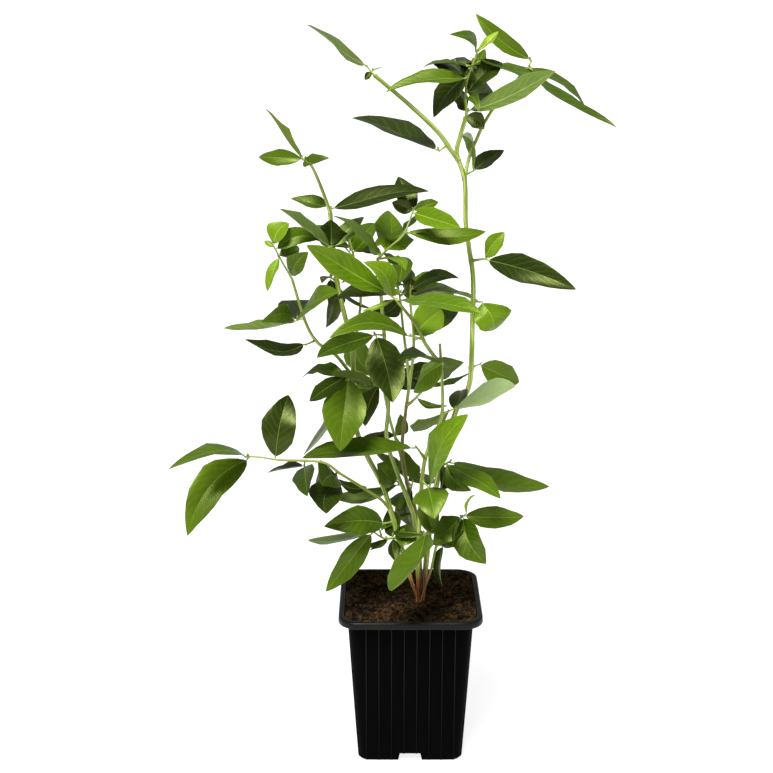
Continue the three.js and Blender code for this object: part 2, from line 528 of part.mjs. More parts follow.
// Of the three axes, the one least in line with the path steers its rings.
function guideFor(points) {
  const run = points.at(-1).clone().sub(points[0]).normalize();
  const axes = [new THREE.Vector3(0, 1, 0), new THREE.Vector3(1, 0, 0), UP];
  return axes.reduce((best, axis) => (Math.abs(axis.dot(run)) < Math.abs(best.dot(run)) - 0.2 ? axis : best));
}

// A tapering round limb along a smooth path.
class Limb {
  constructor(points, radii, sides, grounded = false) {
    this.curve = new THREE.CatmullRomCurve3(points, false, 'catmullrom', 0.5);
    this.radii = radii;
    this.sides = sides;
    this.grounded = grounded;
    this.guide = guideFor(points);
    this.length = this.curve.getLength();
  }

  radiusAt(share) {
    return THREE.MathUtils.lerp(this.radii[0], this.radii[1], share);
  }

  // A limb that stands on the ground is cut level there, and flares.
  body(step) {
    const steps = Math.max(1, Math.round(this.length / step));
    const rings = [];
    for (let j = 0; j <= steps; j += 1) {
      const share = j / steps;
      const onGround = this.grounded && j === 0;
      const tangent = onGround ? UP : this.curve.getTangentAt(share);
      const radius = this.radiusAt(share) + (onGround ? FLARE : 0);
      rings.push(ringAbout(this.curve.getPointAt(share), tangent, this.guide, radius, this.sides));
    }
    return solid(loft(rings));
  }
}

// Where a shoot of the given radius leaves its carrier, and which way it starts: from a
// tip it carries straight on, from a side it forks off at LEAST_FORK or more, and either
// way its cut end stays GAP clear of the bark.
function leave(carrier, share, radius, towards) {
  const centre = carrier.curve.getPointAt(share);
  const along = carrier.curve.getTangentAt(share);
  if (share === 1) {
    return { point: centre.addScaledVector(along, GAP), way: along };
  }
  const course = towards.clone().normalize();
  const lean = course.dot(along);
  const outward = course.clone().addScaledVector(along, -lean).normalize();
  const fork = Math.max(radians(LEAST_FORK), Math.acos(Math.abs(lean)));
  const way = outward.multiplyScalar(Math.sin(fork)).addScaledVector(along, Math.sign(lean) * Math.cos(fork));
  const reach = (carrier.radiusAt(share) + GAP + radius * Math.cos(fork)) / Math.sin(fork);
  return { point: centre.addScaledVector(way, reach), way };
}

function growLimb({ on: [carrier, place], radii, course }) {
  const stops = course.map(([x, y, z]) => new THREE.Vector3(x, y, z));
  if (carrier === 'ground') {
    const foot = new THREE.Vector3(CROWN.x, CROWN.y, SOIL_LEVEL + GAP)
      .addScaledVector(heading(place, 0), CROWN.ring);
    return new Limb([foot, foot.clone().addScaledVector(UP, ELBOW), ...stops], radii, LIMB_SIDES, true);
  }
  const parent = limbs[carrier];
  const towards = stops[0].clone().sub(parent.curve.getPointAt(place));
  const { point, way } = leave(parent, place, radii[0], towards);
  return new Limb([point, point.clone().addScaledVector(way, ELBOW), ...stops], radii, LIMB_SIDES);
}

function growShoot({ on: [carrier, place], shoot }) {
  const parent = limbs[carrier];
  const radius = Math.min(SHOOT_RADIUS, SLIMMER * parent.radiusAt(place));
  const { point, way } = leave(parent, place, radius, heading(shoot[0][0], shoot[0][1]));
  const stops = [point, point.clone().addScaledVector(way, ELBOW / 2)];
  for (const [bearing, rise, length] of shoot) {
    stops.push(stops.at(-1).clone().addScaledVector(heading(bearing, rise), length));
  }
  return new Limb(stops, [radius, SHOOT_TIP_RADIUS], SHOOT_SIDES);
}

// ---------------------------------------------------------------- one leaf
// The blade over its own length u (0 stalk, 1 tip) and width v (-1 to 1): the midrib is
// a chord bowed up by the arch, the half width swells and tapers as a sine, and both
// halves fold up from the midrib.
class Leaf {
  constructor(foot, [, bearing, rise, length, width, roll, arch = LEAF_ARCH, sway = 0], [turn, lift, tip]) {
    const level = heading(bearing + turn - 90, 0);
    this.foot = foot;
    this.along = heading(bearing + turn, rise + lift);
    const upper = new THREE.Vector3().crossVectors(level, this.along);
    const tilt = radians(roll + tip);
    this.side = level.clone().multiplyScalar(Math.cos(tilt)).addScaledVector(upper, -Math.sin(tilt));
    this.face = upper.clone().multiplyScalar(Math.cos(tilt)).addScaledVector(level, Math.sin(tilt));
    this.stalk = STALK_SHARE * length;
    this.length = length - this.stalk;
    this.half = width / 2;
    this.arch = arch;
    this.sway = sway;
    this.thickness = Math.max(LEAF_LEAST_THICKNESS, LEAF_THICKNESS * length);
  }

  at(u, v) {
    const spread = v * Math.max(this.half * Math.sin(Math.PI * u ** 0.85) ** 0.8, LEAF_POINT);
    const bow = 4 * this.length * u * (1 - u);
    return this.foot.clone()
      .addScaledVector(this.along, this.stalk + this.length * u)
      .addScaledVector(this.side, this.sway * bow + spread * Math.cos(radians(LEAF_FOLD)))
      .addScaledVector(this.face, this.arch * bow + Math.abs(spread) * Math.sin(radians(LEAF_FOLD)));
  }

  // Each ring is a rhombus: over the midrib, one margin, under the midrib, other margin.
  body() {
    const count = THREE.MathUtils.clamp(Math.round(this.length / LEAF_FACET), ...LEAF_FACETS);
    const stations = Array.from({ length: count }, (_, k) => (k + 0.7) / (count + 0.4));
    const rhombus = (rib, lift, margins) => [
      rib.clone().addScaledVector(this.face, lift), margins[0],
      rib.clone().addScaledVector(this.face, -lift), margins[1]];
    const stalkEnds = [this.foot, this.at(0, 0)].map((centre) => rhombus(centre, STALK_RADIUS,
      [1, -1].map((v) => centre.clone().addScaledVector(this.side, v * STALK_RADIUS))));
    const blade = stations.map((u) => {
      const lift = this.thickness / 2 * Math.min(1, 0.3 + 4 * u * (1 - u));
      return rhombus(this.at(u, 0), lift, [this.at(u, 1), this.at(u, -1)]);
    });
    return solid(loft([...stalkEnds, ...blade, [this.at(1, 0)]]));
  }
}

// ---------------------------------------------------------------- room to grow
// Each limb and leaf is also kept as a light outline: segments and faces that two
// neighbours may not bring across each other, and stations, the centres and radii of a
// round limb. An outline stands off from the real surface by its clearance.
class Outline {
  constructor(owner, points, segments, faces, stations) {
    this.owner = owner;
    this.segments = segments;
    this.faces = faces;
    this.stations = stations;
    this.centre = points.reduce((sum, p) => sum.add(p), new THREE.Vector3()).divideScalar(points.length);
    this.reach = Math.max(...points.map((p) => p.distanceTo(this.centre)));
  }
}

function bladeOutline(owner, leaf) {
  const grid = OUTLINE_STATIONS.map((u) => [-1, 0, 1].map((v) => leaf.at(u, v)));
  const segments = [];
  const faces = [];
  grid.forEach((row, j) => {
    segments.push([row[0], row[1]], [row[1], row[2]]);
    row.forEach((point, i) => {
      segments.push([point.clone().addScaledVector(leaf.face, -LEAF_CLEARANCE),
        point.clone().addScaledVector(leaf.face, LEAF_CLEARANCE)]);
      if (j > 0) {
        segments.push([grid[j - 1][i], point]);
      }
      if (j > 0 && i > 0) {
        faces.push([grid[j - 1][i - 1], grid[j - 1][i], point], [grid[j - 1][i - 1], point, row[i - 1]]);
      }
    });
  });
  return new Outline(owner, grid.flat(), segments, faces, []);
}

function limbOutlines(owner, limb) {
  const steps = Math.max(2, Math.ceil(limb.length / OUTLINE_STEP));
  const stations = [];
  const rings = [];
  for (let j = 0; j <= steps; j += 1) {
    const centre = limb.curve.getPointAt(j / steps);
    const tangent = limb.curve.getTangentAt(j / steps);
    const radius = limb.radiusAt(j / steps);
    stations.push({ centre, radius });
    rings.push(ringAbout(centre, tangent, limb.guide, radius + LIMB_CLEARANCE, LIMB_SIDES));
  }
  const outlines = [];
  for (let j = 0; j < steps; j += 1) {
    const segments = [];
    for (let i = 0; i < LIMB_SIDES; i += 1) {
      const across = (i + LIMB_SIDES / 2) % LIMB_SIDES;
      segments.push([rings[j][i], rings[j + 1][i]], [rings[j][i], rings[j + 1][across]]);
    }
    const points = [...rings[j], ...rings[j + 1]];
    outlines.push(new Outline(owner, points, segments, [], [stations[j], stations[j + 1]]));
  }
  return outlines;
}

// Whether the segment passes through the triangle, by the shares at which the segment
// and two of the triangle's edges meet.
function crosses([from, to], [a, b, c]) {
  const run = to.clone().sub(from);
  const ab = b.clone().sub(a);
  const ac = c.clone().sub(a);
  const across = run.clone().cross(ac);
  const volume = ab.dot(across);
  if (Math.abs(volume) < 1e-9) {
    return false;
  }
  const start = from.clone().sub(a);
  const onAb = start.dot(across) / volume;
  const turned = start.cross(ab);
  const onAc = run.dot(turned) / volume;
  const onRun = ac.dot(turned) / volume;
  return onAb >= 0 && onAc >= 0 && onAb + onAc <= 1 && onRun >= 0 && onRun <= 1;
}

function touch(one, other) {
  const apart = one.centre.distanceTo(other.centre);
  if (apart > one.reach + other.reach + LIMB_CLEARANCE) {
    return false;
  }
  const cuts = (segments, faces) => segments.some((segment) => faces.some((face) => crosses(segment, face)));
  return cuts(one.segments, other.faces) || cuts(other.segments, one.faces)
    || one.stations.some((a) => other.stations.some(
      (b) => a.centre.distanceTo(b.centre) < a.radius + b.radius + 2 * GAP));
}

// ---------------------------------------------------------------- growing it all
const limbs = {};
const shoots = {};
const outlines = [];
const bodies = {};

// Parts of one mass may meet at its shoot, but its blades stay out of each other.
function isClear(candidates) {
  return !candidates.some((one) => outlines.some((other) => {
    const kin = one.owner === other.owner;
    return !(kin && (one.faces.length === 0 || other.faces.length === 0)) && touch(one, other);
  }));
}

// Puts the leaf on its carrier, turned a little if its own place is taken. A leaf that
// finds no room is left out.
function putLeaf(mass, carrier, sheet) {
  const foot = carrier.curve.getPointAt(Math.min(sheet[0], 1 - ROOT / carrier.length));
  for (const turn of TURNS) {
    const leaf = new Leaf(foot, sheet, turn);
    const stalk = new Limb([foot, leaf.at(0, 0)], [STALK_RADIUS, STALK_RADIUS], STALK_SIDES);
    const candidates = [bladeOutline(mass, leaf), ...limbOutlines(mass, stalk)];
    if (isClear(candidates)) {
      outlines.push(...candidates);
      bodies[mass].push(leaf.body());
      return true;
    }
  }
  return false;
}

// A side twig of the seeded rule: it leaves the shoot anywhere along its upper part and
// carries one leaf at its middle and one at its tip.
function putTwig(mass, [, bearing, spread], chance) {
  const pick = ([least, span]) => least + span * chance();
  const foot = shoots[mass].curve.getPointAt(pick(TWIG.share));
  const way = pick([bearing - spread / 2, spread]);
  const reach = heading(way, pick(TWIG.rise)).multiplyScalar(pick(TWIG.length));
  const twig = new Limb([foot, foot.clone().add(reach)], TWIG.radii, TWIG.sides);
  const hand = chance() < 0.5 ? -1 : 1;
  const sheets = TWIG_LEAVES.map(([share, off]) => {
    const length = pick(TWIG_LEAF.length);
    const width = TWIG_LEAF.slimness * length;
    return [share, way + hand * off, pick(TWIG_LEAF.rise), length, width, pick(TWIG_LEAF.roll)];
  });
  const rods = limbOutlines(mass, twig);
  if (!isClear(rods)) {
    return;
  }
  outlines.push(...rods);
  bodies[mass].push(twig.body(LIMB_STEP));
  sheets.forEach((sheet) => putLeaf(mass, twig, sheet));
}

const bush = new THREE.Group();
bush.add(meshOf('pot', makePot(), 'pot'));
bush.add(meshOf('compost', makeCompost(), 'compost'));

for (const [name, plan] of Object.entries(LIMBS)) {
  limbs[name] = growLimb(plan);
  outlines.push(...limbOutlines(name, limbs[name]));
  bush.add(meshOf(name, limbs[name].body(LIMB_STEP), 'bark'));
}
for (const [name, plan] of Object.entries(MASSES)) {
  shoots[name] = growShoot(plan);
  outlines.push(...limbOutlines(name, shoots[name]));
  bodies[name] = [shoots[name].body(SHOOT_STEP)];
}
for (const [name, plan] of Object.entries(MASSES)) {
  plan.lead.forEach((sheet) => putLeaf(name, shoots[name], sheet));
}
const chance = dice(SEED);
for (const [name, plan] of Object.entries(MASSES)) {
  for (let k = 0; k < plan.more[0]; k += 1) {
    putTwig(name, plan.more, chance);
  }
}
for (const name of Object.keys(MASSES)) {
  bush.add(meshOf(name, joined(bodies[name]), 'leaf'));
}

export default bush;
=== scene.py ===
# %% [markdown]
# # A young blueberry bush in a square pot
#
# The real thing is half a metre of green stems and leathery leaves in a thin black nursery pot.
# Nearly everything here is one idea used again and again: a ring of points is carried along a
# path, the rings are skinned, and both ends are closed. A stem, a leaf, a bud, a crumb of
# compost and the pot itself are all made so. The plant is grown from a chart and a few rules,
# in millimetres, and only the finished meshes are turned into metres.

# %% Load the frame
import math
import bpy
import numpy as np
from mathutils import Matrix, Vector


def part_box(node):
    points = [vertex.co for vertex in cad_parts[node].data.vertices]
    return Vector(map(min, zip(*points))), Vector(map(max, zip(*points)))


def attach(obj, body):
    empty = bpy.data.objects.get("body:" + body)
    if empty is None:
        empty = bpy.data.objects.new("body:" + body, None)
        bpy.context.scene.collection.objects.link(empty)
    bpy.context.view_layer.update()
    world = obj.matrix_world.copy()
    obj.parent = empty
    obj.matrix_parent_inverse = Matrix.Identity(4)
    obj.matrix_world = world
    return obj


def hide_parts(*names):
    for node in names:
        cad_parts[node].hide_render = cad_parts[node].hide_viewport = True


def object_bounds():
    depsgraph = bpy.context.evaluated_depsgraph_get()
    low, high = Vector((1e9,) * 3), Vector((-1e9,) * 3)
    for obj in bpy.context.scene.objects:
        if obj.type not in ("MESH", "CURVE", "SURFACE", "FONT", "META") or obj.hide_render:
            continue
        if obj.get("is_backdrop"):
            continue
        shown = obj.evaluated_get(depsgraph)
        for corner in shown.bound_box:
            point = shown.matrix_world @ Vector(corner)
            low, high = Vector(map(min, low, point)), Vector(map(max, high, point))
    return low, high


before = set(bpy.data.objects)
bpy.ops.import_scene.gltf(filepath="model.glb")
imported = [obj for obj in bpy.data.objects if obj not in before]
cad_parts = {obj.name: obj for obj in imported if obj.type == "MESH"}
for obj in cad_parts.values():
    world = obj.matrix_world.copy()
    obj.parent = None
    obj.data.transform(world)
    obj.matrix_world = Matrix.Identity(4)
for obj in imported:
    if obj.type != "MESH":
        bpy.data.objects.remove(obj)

MM = 0.001
cad_low, cad_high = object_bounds()
cad_box = [list(cad_low), list(cad_high)]


def put_in_scene(name, data):
    """An object of that name, from a camera, a lamp or a mesh."""
    thing = bpy.data.objects.new(name, data)
    bpy.context.scene.collection.objects.link(thing)
    return thing


print("frame: %d solids, %.0f mm tall" % (len(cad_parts), (cad_high.z - cad_low.z) / MM))

# %% [markdown]
# ## Camera
#
# A plant looks true to life through a long lens, which keeps the near leaves from swelling.
# The camera stands well back, a little above the top of the plant, and looks down gently, so
# that the compost shows over the front of the rim.

# %% Place the camera
CAMERA_PLACE = (-0.015, -0.897, 0.4775)
CAMERA_DIP = 14.94          # degrees below level
LENS = 70                   # millimetres, for film this wide
FILM_WIDTH = 36

camera = put_in_scene("camera", bpy.data.cameras.new("camera"))
camera.data.lens = LENS
camera.data.sensor_width = FILM_WIDTH
camera.location = CAMERA_PLACE
camera.rotation_euler = (math.radians(90 - CAMERA_DIP), 0, 0)
bpy.context.scene.camera = camera
print("camera: lens", LENS, "at", CAMERA_PLACE)

# %% [markdown]
# ## Light
#
# Leaves are glossy and thin, so hard light would break them into glare and black. A bright
# sky all round fills the shadows, and one very wide sun from above and in front gives the
# soft sheen along each blade. A sun, unlike a lamp, lights a far floor as well as a near one.

# %% Light the studio
SKY_STRENGTH = 0.31
SUN_STRENGTH = 4.6
SUN_WIDTH = 26              # degrees; the wider, the softer
SUN_TILT = (30, 0, -24)     # degrees from straight overhead

world = bpy.data.worlds.new("soft_sky")
world.use_nodes = True
world.node_tree.nodes["Background"].inputs["Color"].default_value = (1, 1, 1, 1)
world.node_tree.nodes["Background"].inputs["Strength"].default_value = SKY_STRENGTH
bpy.context.scene.world = world
bpy.context.scene.view_settings.view_transform = "Standard"

sun = put_in_scene("wide_sun", bpy.data.lights.new("wide_sun", "SUN"))
sun.data.energy = SUN_STRENGTH
sun.data.angle = math.radians(SUN_WIDTH)
sun.rotation_euler = [math.radians(a) for a in SUN_TILT]
print("light: sky", SKY_STRENGTH, "sun", SUN_STRENGTH)

# %% [markdown]
# ## Skins from rings
#
# Almost every shape is a stack of rings. `close_rings` takes any number of copies at once, as
# an array of copy, station, place and xyz, skins each stack with four-sided faces and closes
# both ends with a fan to a pole. If a stack was wound the wrong way its volume comes out
# negative, and its faces are turned round, so that every face points outwards.

# %% Skin a stack of rings
def close_rings(rings, poles=None):
    """Closed skins over rings[copy, station, place]. Each end is a fan to its pole, which is
    the middle of the end ring where poles[copy, end] isn't given."""
    copies, stations, places, _ = rings.shape
    if poles is None:
        poles = rings[:, [0, -1]].mean(axis=2)
    points = np.concatenate([rings.reshape(copies, -1, 3), poles], axis=1)
    station, place = (a.ravel() for a in np.mgrid[0:stations - 1, 0:places])
    here = station * places + place
    beside = station * places + (place + 1) % places
    quads = np.stack([here, beside, beside + places, here + places], axis=1)
    around = np.arange(places)
    ahead = (around + 1) % places
    last = (stations - 1) * places
    foot_pole = np.full(places, stations * places)
    foot_fan = np.stack([ahead, around, foot_pole], axis=1)
    tip_fan = np.stack([last + around, last + ahead, foot_pole + 1], axis=1)
    fans = np.vstack([foot_fan, tip_fan])
    corners = np.vstack([quads[:, [0, 1, 2]], quads[:, [0, 2, 3]], fans])
    a, b, c = (points[0][corners[:, i]] - points[0].mean(axis=0) for i in range(3))
    if np.einsum("ij,ij->", a, np.cross(b, c)) < 0:
        quads, fans = quads[:, ::-1], fans[:, ::-1]
    step = points.shape[1] * np.arange(copies)[:, None, None]
    return {"points": points.reshape(-1, 3), "quads": (quads + step).reshape(-1, 4),
            "fans": (fans + step).reshape(-1, 3),
            "quad_place": np.tile(place, copies), "fan_place": np.tile(np.tile(around, 2), copies)}


def at_points(values, pole_values):
    """Values[copy, station, place] and their two poles, in the order of close_rings' points."""
    copies = values.shape[0]
    return np.concatenate([values.reshape(copies, -1), pole_values], axis=1).ravel()

# %% [markdown]
# ## Pieces
#
# Hundreds of leaves as hundreds of objects would be slow and hard to keep in order, so the
# skins of one kind are joined into one mesh. `make_piece` also writes what the finishes need
# to know: which material a face takes, a number at each point such as how woody the bark is,
# and a map that runs along and across a leaf.

# %% Join skins into one piece
PIECES = []


def make_piece(name, skins, finishes, stands_for=(), face_finish=None, facts=None, crease=60):
    """One object from many skins. face_finish(skin) gives the finish number of its quads and
    fans; facts are arrays at the joined points, a pair for a map and a single one for a number.
    Edges sharper than the crease, in degrees, stay sharp."""
    offsets = np.cumsum([0] + [len(s["points"]) for s in skins])
    points = np.vstack([s["points"] for s in skins]) * MM
    quads = np.vstack([s["quads"] + o for s, o in zip(skins, offsets)])
    fans = np.vstack([s["fans"] + o for s, o in zip(skins, offsets)])
    mesh = bpy.data.meshes.new(name)
    mesh.from_pydata(points.tolist(), [], quads.tolist() + fans.tolist())
    for finish in finishes:
        mesh.materials.append(finish)
    if face_finish is not None:
        numbers = [face_finish(s) for s in skins]
        order = np.concatenate([q for q, _ in numbers] + [f for _, f in numbers])
        mesh.polygons.foreach_set("material_index", order.astype(np.int32))
    corner_point = np.zeros(len(mesh.loops), np.int32)
    mesh.loops.foreach_get("vertex_index", corner_point)
    for fact, values in (facts or {}).items():
        if values.ndim == 2:
            layer = mesh.uv_layers.new(name=fact)
            layer.uv.foreach_set("vector", values[corner_point].astype(np.float32).ravel())
        else:
            layer = mesh.attributes.new(fact, "FLOAT", "POINT")
            layer.data.foreach_set("value", values.astype(np.float32))
    mesh.shade_smooth()
    mesh.set_sharp_from_angle(angle=math.radians(crease))
    mesh.update()
    piece = put_in_scene(name, mesh)
    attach(piece, "root")
    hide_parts(*stands_for)
    PIECES.append(piece)
    print("%s: %d faces, %d triangles" % (name, len(quads) + len(fans), 2 * len(quads) + len(fans)))

# %% [markdown]
# ## Finishes
#
# Every finish is Blender's Principled shader fed by a few noise textures. These helpers add a
# node, tie two sockets together, and blend two colours by a factor, so that each finish below
# can say only what is special about it. Numbers that are the same all over are set on the
# shader itself.

# %% Helpers for finishes
def rgb(red, green, blue):
    """A colour given as it looks on a screen, 0 to 255, as the shader's linear light."""
    share = np.array([red, green, blue]) / 255
    linear = np.where(share < 0.04045, share / 12.92, ((share + 0.055) / 1.055) ** 2.4)
    return (*linear.tolist(), 1)


def new_finish(name, **numbers):
    """A material with its Principled shader's even numbers set; returns material, tree, shader."""
    material = bpy.data.materials.new(name)
    material.use_nodes = True
    shader = material.node_tree.nodes["Principled BSDF"]
    for socket, value in numbers.items():
        shader.inputs[socket.replace("_", " ")].default_value = value
    return material, material.node_tree, shader


def feed(tree, socket, value):
    """Ties another node's socket to this one, or sets a number or a colour on it."""
    if isinstance(value, bpy.types.NodeSocket):
        tree.links.new(value, socket)
    else:
        socket.default_value = value


def add(tree, kind, inputs=None, **settings):
    """A node of a kind, with its settings, and its inputs fed."""
    node = tree.nodes.new("ShaderNode" + kind)
    for key, value in settings.items():
        setattr(node, key, value)
    for key, value in (inputs or {}).items():
        feed(tree, node.inputs[key], value)
    return node


def in_place(tree):
    """Coordinates in metres that stay with the piece."""
    return add(tree, "TexCoord").outputs["Object"]


def height_above_ground(tree):
    """The height in metres."""
    return add(tree, "SeparateXYZ", {0: in_place(tree)}).outputs["Z"]


def from_map(tree, name):
    """The two numbers of a map, as the outputs X and Y of the result."""
    return add(tree, "SeparateXYZ", {0: add(tree, "UVMap", uv_map=name).outputs["UV"]}).outputs


def from_points(tree, name):
    """A number that make_piece wrote at the points."""
    return add(tree, "Attribute", attribute_name=name).outputs["Fac"]


def noise(tree, scale, detail=3, roughness=0.55, stretch=(1, 1, 1), where=None):
    """Soft noise from 0 to 1, with so many waves to the metre, drawn out along the stretch."""
    place = add(tree, "Mapping", {"Vector": where or in_place(tree), "Scale": stretch})
    return add(tree, "TexNoise", {"Vector": place.outputs["Vector"], "Scale": scale,
                                  "Detail": detail, "Roughness": roughness}).outputs["Fac"]


def spread(tree, value, low, high, to_low=0.0, to_high=1.0):
    """The value's run from low to high, stretched over to_low to to_high."""
    return add(tree, "MapRange", {"Value": value, "From Min": low, "From Max": high,
                                  "To Min": to_low, "To Max": to_high}).outputs["Result"]


def blend(tree, factor, first, second):
    """From the first colour to the second as the factor goes from 0 to 1."""
    mix = add(tree, "Mix", {"Factor": factor, 6: first, 7: second}, data_type="RGBA")
    return mix.outputs[2]


def sums(tree, operation, first, second=0.0, third=0.0):
    """One step of arithmetic on sockets or numbers."""
    return add(tree, "Math", {0: first, 1: second, 2: third}, operation=operation).outputs[0]


def dress(tree, shader, colour, roughness, height, bump=0.3, depth=0.0002):
    """Ties a colour, a roughness and a bump of the given depth in metres to the shader."""
    tree.links.new(colour, shader.inputs["Base Color"])
    tree.links.new(roughness, shader.inputs["Roughness"])
    relief = add(tree, "Bump", {"Height": height, "Strength": bump, "Distance": depth})
    tree.links.new(relief.outputs["Normal"], shader.inputs["Normal"])


def two_tone(name, gloss, scale, edges, first, second, roughness, grain, detail=3):
    """A plain finish: soft patches of a second colour, duller than the first, with a relief of
    grain. The edges are where in the noise the change begins and ends."""
    material, tree, shader = new_finish(name, Specular_IOR_Level=gloss)
    patches = noise(tree, scale, detail)
    dress(tree, shader, blend(tree, spread(tree, patches, *edges), rgb(*first), rgb(*second)),
          spread(tree, patches, 0, 1, *roughness), noise(tree, grain))
    return material


print("a middle grey of 128 is a light of %.3f" % rgb(128, 128, 128)[0])

# %% [markdown]
# ## The floor
#
# A seamless studio floor is only a wide pale disc, but it is given a trace of grain, so that
# it reads as paper and not as emptiness. It is lit from behind, as a light table is, and its
# paper is greyer than it looks, so that shadows on it stay faint and it throws little light up
# under the leaves. It is marked as stage, since it isn't the object.

# %% Lay the floor
FLOOR_REACH = 60000         # millimetres, past the horizon of the picture
FLOOR_SIDES = 96
FLOOR_GLOW = 0.85


def angles_round(count):
    """The angles of so many points evenly round a circle, in radians."""
    return np.linspace(0, 2 * np.pi, count, endpoint=False)


paper, tree, shader = new_finish("pale_paper", Specular_IOR_Level=0.1, Emission_Strength=FLOOR_GLOW,
                                 Emission_Color=(1, 1, 1, 1))
grain = noise(tree, 600)
dress(tree, shader, blend(tree, grain, rgb(150, 150, 150), rgb(156, 156, 156)),
      spread(tree, grain, 0, 1, 0.8, 0.95), grain, 0.05, 0.0004)
turn = angles_round(FLOOR_SIDES)
rim = np.stack([np.cos(turn), np.sin(turn), 0 * turn], axis=1) * FLOOR_REACH * MM
floor_mesh = bpy.data.meshes.new("floor")
floor_mesh.from_pydata(rim.tolist(), [], [list(range(FLOOR_SIDES))])
floor_mesh.materials.append(paper)
floor = put_in_scene("floor", floor_mesh)
floor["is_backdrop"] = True
print("floor: %.0f m across" % (2 * FLOOR_REACH * MM))

# %% [markdown]
# ## Directions, chance and limbs
#
# A gardener would describe a shoot by the way it points and how steeply it climbs, so the
# chart gives bearings, round from the right by way of the back, and rises above level. The
# small generator of chance is the same one that the solid model was grown with, so the same
# side twigs come up in the same places here.

# %% Directions and chance
WORD = 0xFFFFFFFF           # the dice count in whole numbers of 32 bits
STRIDE = 0x6D2B79F5         # an odd step that visits every one of them


def heading(bearing, rise):
    """Unit vectors for bearings and rises in degrees."""
    b, r = np.radians(bearing), np.radians(rise)
    return np.stack([np.cos(r) * np.cos(b), np.cos(r) * np.sin(b), np.sin(r) + 0 * b], axis=-1)


def unit(vectors):
    """The same directions with length one."""
    return vectors / np.linalg.norm(vectors, axis=-1, keepdims=True)


def dice(seed):
    """A repeatable source of chance: each call gives the next number from 0 up to 1."""
    state = seed
    while True:
        state = (state + STRIDE) & WORD
        mixed = ((state ^ (state >> 15)) * (state | 1)) & WORD
        mixed ^= (mixed + (((mixed ^ (mixed >> 7)) * (mixed | 61)) & WORD)) & WORD
        yield ((mixed ^ (mixed >> 14)) & WORD) / (WORD + 1)


print("a bearing of 90 with no rise heads", heading(90, 0).round(2))

# %% [markdown]
# A limb is a smooth curve through a few places, with a radius at each end. The curve is the
# common one of computer drawing: at each stop it heads the way from the stop before to the
# stop after. Everything that grows from a limb asks it for a point, a direction and a radius
# at some share of its length.

# %% A limb along a smooth path
PATH_FINENESS = 40          # points between two stops of a path
WAY_STEP = 0.002            # a direction is measured over this share to either side


class Limb:
    """A round limb through its stops, tapering from the first radius to the last."""

    def __init__(self, stops, radii):
        """Between two stops the line is a cubic of t, from 0 to 1. It starts at the first stop and
        ends at the second, and heads at each the way from the stop before to the stop after."""
        stops = np.array(stops, float)
        held = np.vstack([2 * stops[0] - stops[1], stops, 2 * stops[-1] - stops[-2]])
        spans = len(stops) - 1
        along = np.linspace(0, spans, spans * PATH_FINENESS + 1)
        span = np.minimum(along.astype(int), spans - 1)
        t = (along - span)[:, None]
        before, start, end, after = (held[span + i] for i in range(4))
        self.line = ((2 * t ** 3 - 3 * t ** 2 + 1) * start + (3 * t ** 2 - 2 * t ** 3) * end
                     + (t ** 3 - 2 * t ** 2 + t) * (end - before) / 2
                     + (t ** 3 - t ** 2) * (after - start) / 2)
        steps = np.linalg.norm(np.diff(self.line, axis=0), axis=1)
        self.length = steps.sum()
        self.shares = np.concatenate([[0], np.cumsum(steps)]) / self.length
        self.radii = radii

    def at(self, share):
        """The middle line's points at shares of its length."""
        return np.stack([np.interp(share, self.shares, self.line[:, i]) for i in range(3)], axis=-1)

    def way(self, share):
        """Which way the limb runs there: from a little before to a little after."""
        return unit(self.at(np.minimum(share + WAY_STEP, 1)) - self.at(np.maximum(share - WAY_STEP, 0)))

    def radius(self, share):
        """The radius there: an even taper."""
        return self.radii[0] + (self.radii[1] - self.radii[0]) * share


bent = Limb([(0, 0, 0), (10, 0, 0), (10, 10, 0)], (1, 1))
print("a limb round a corner, 10 mm each way, is %.1f mm long" % bent.length)
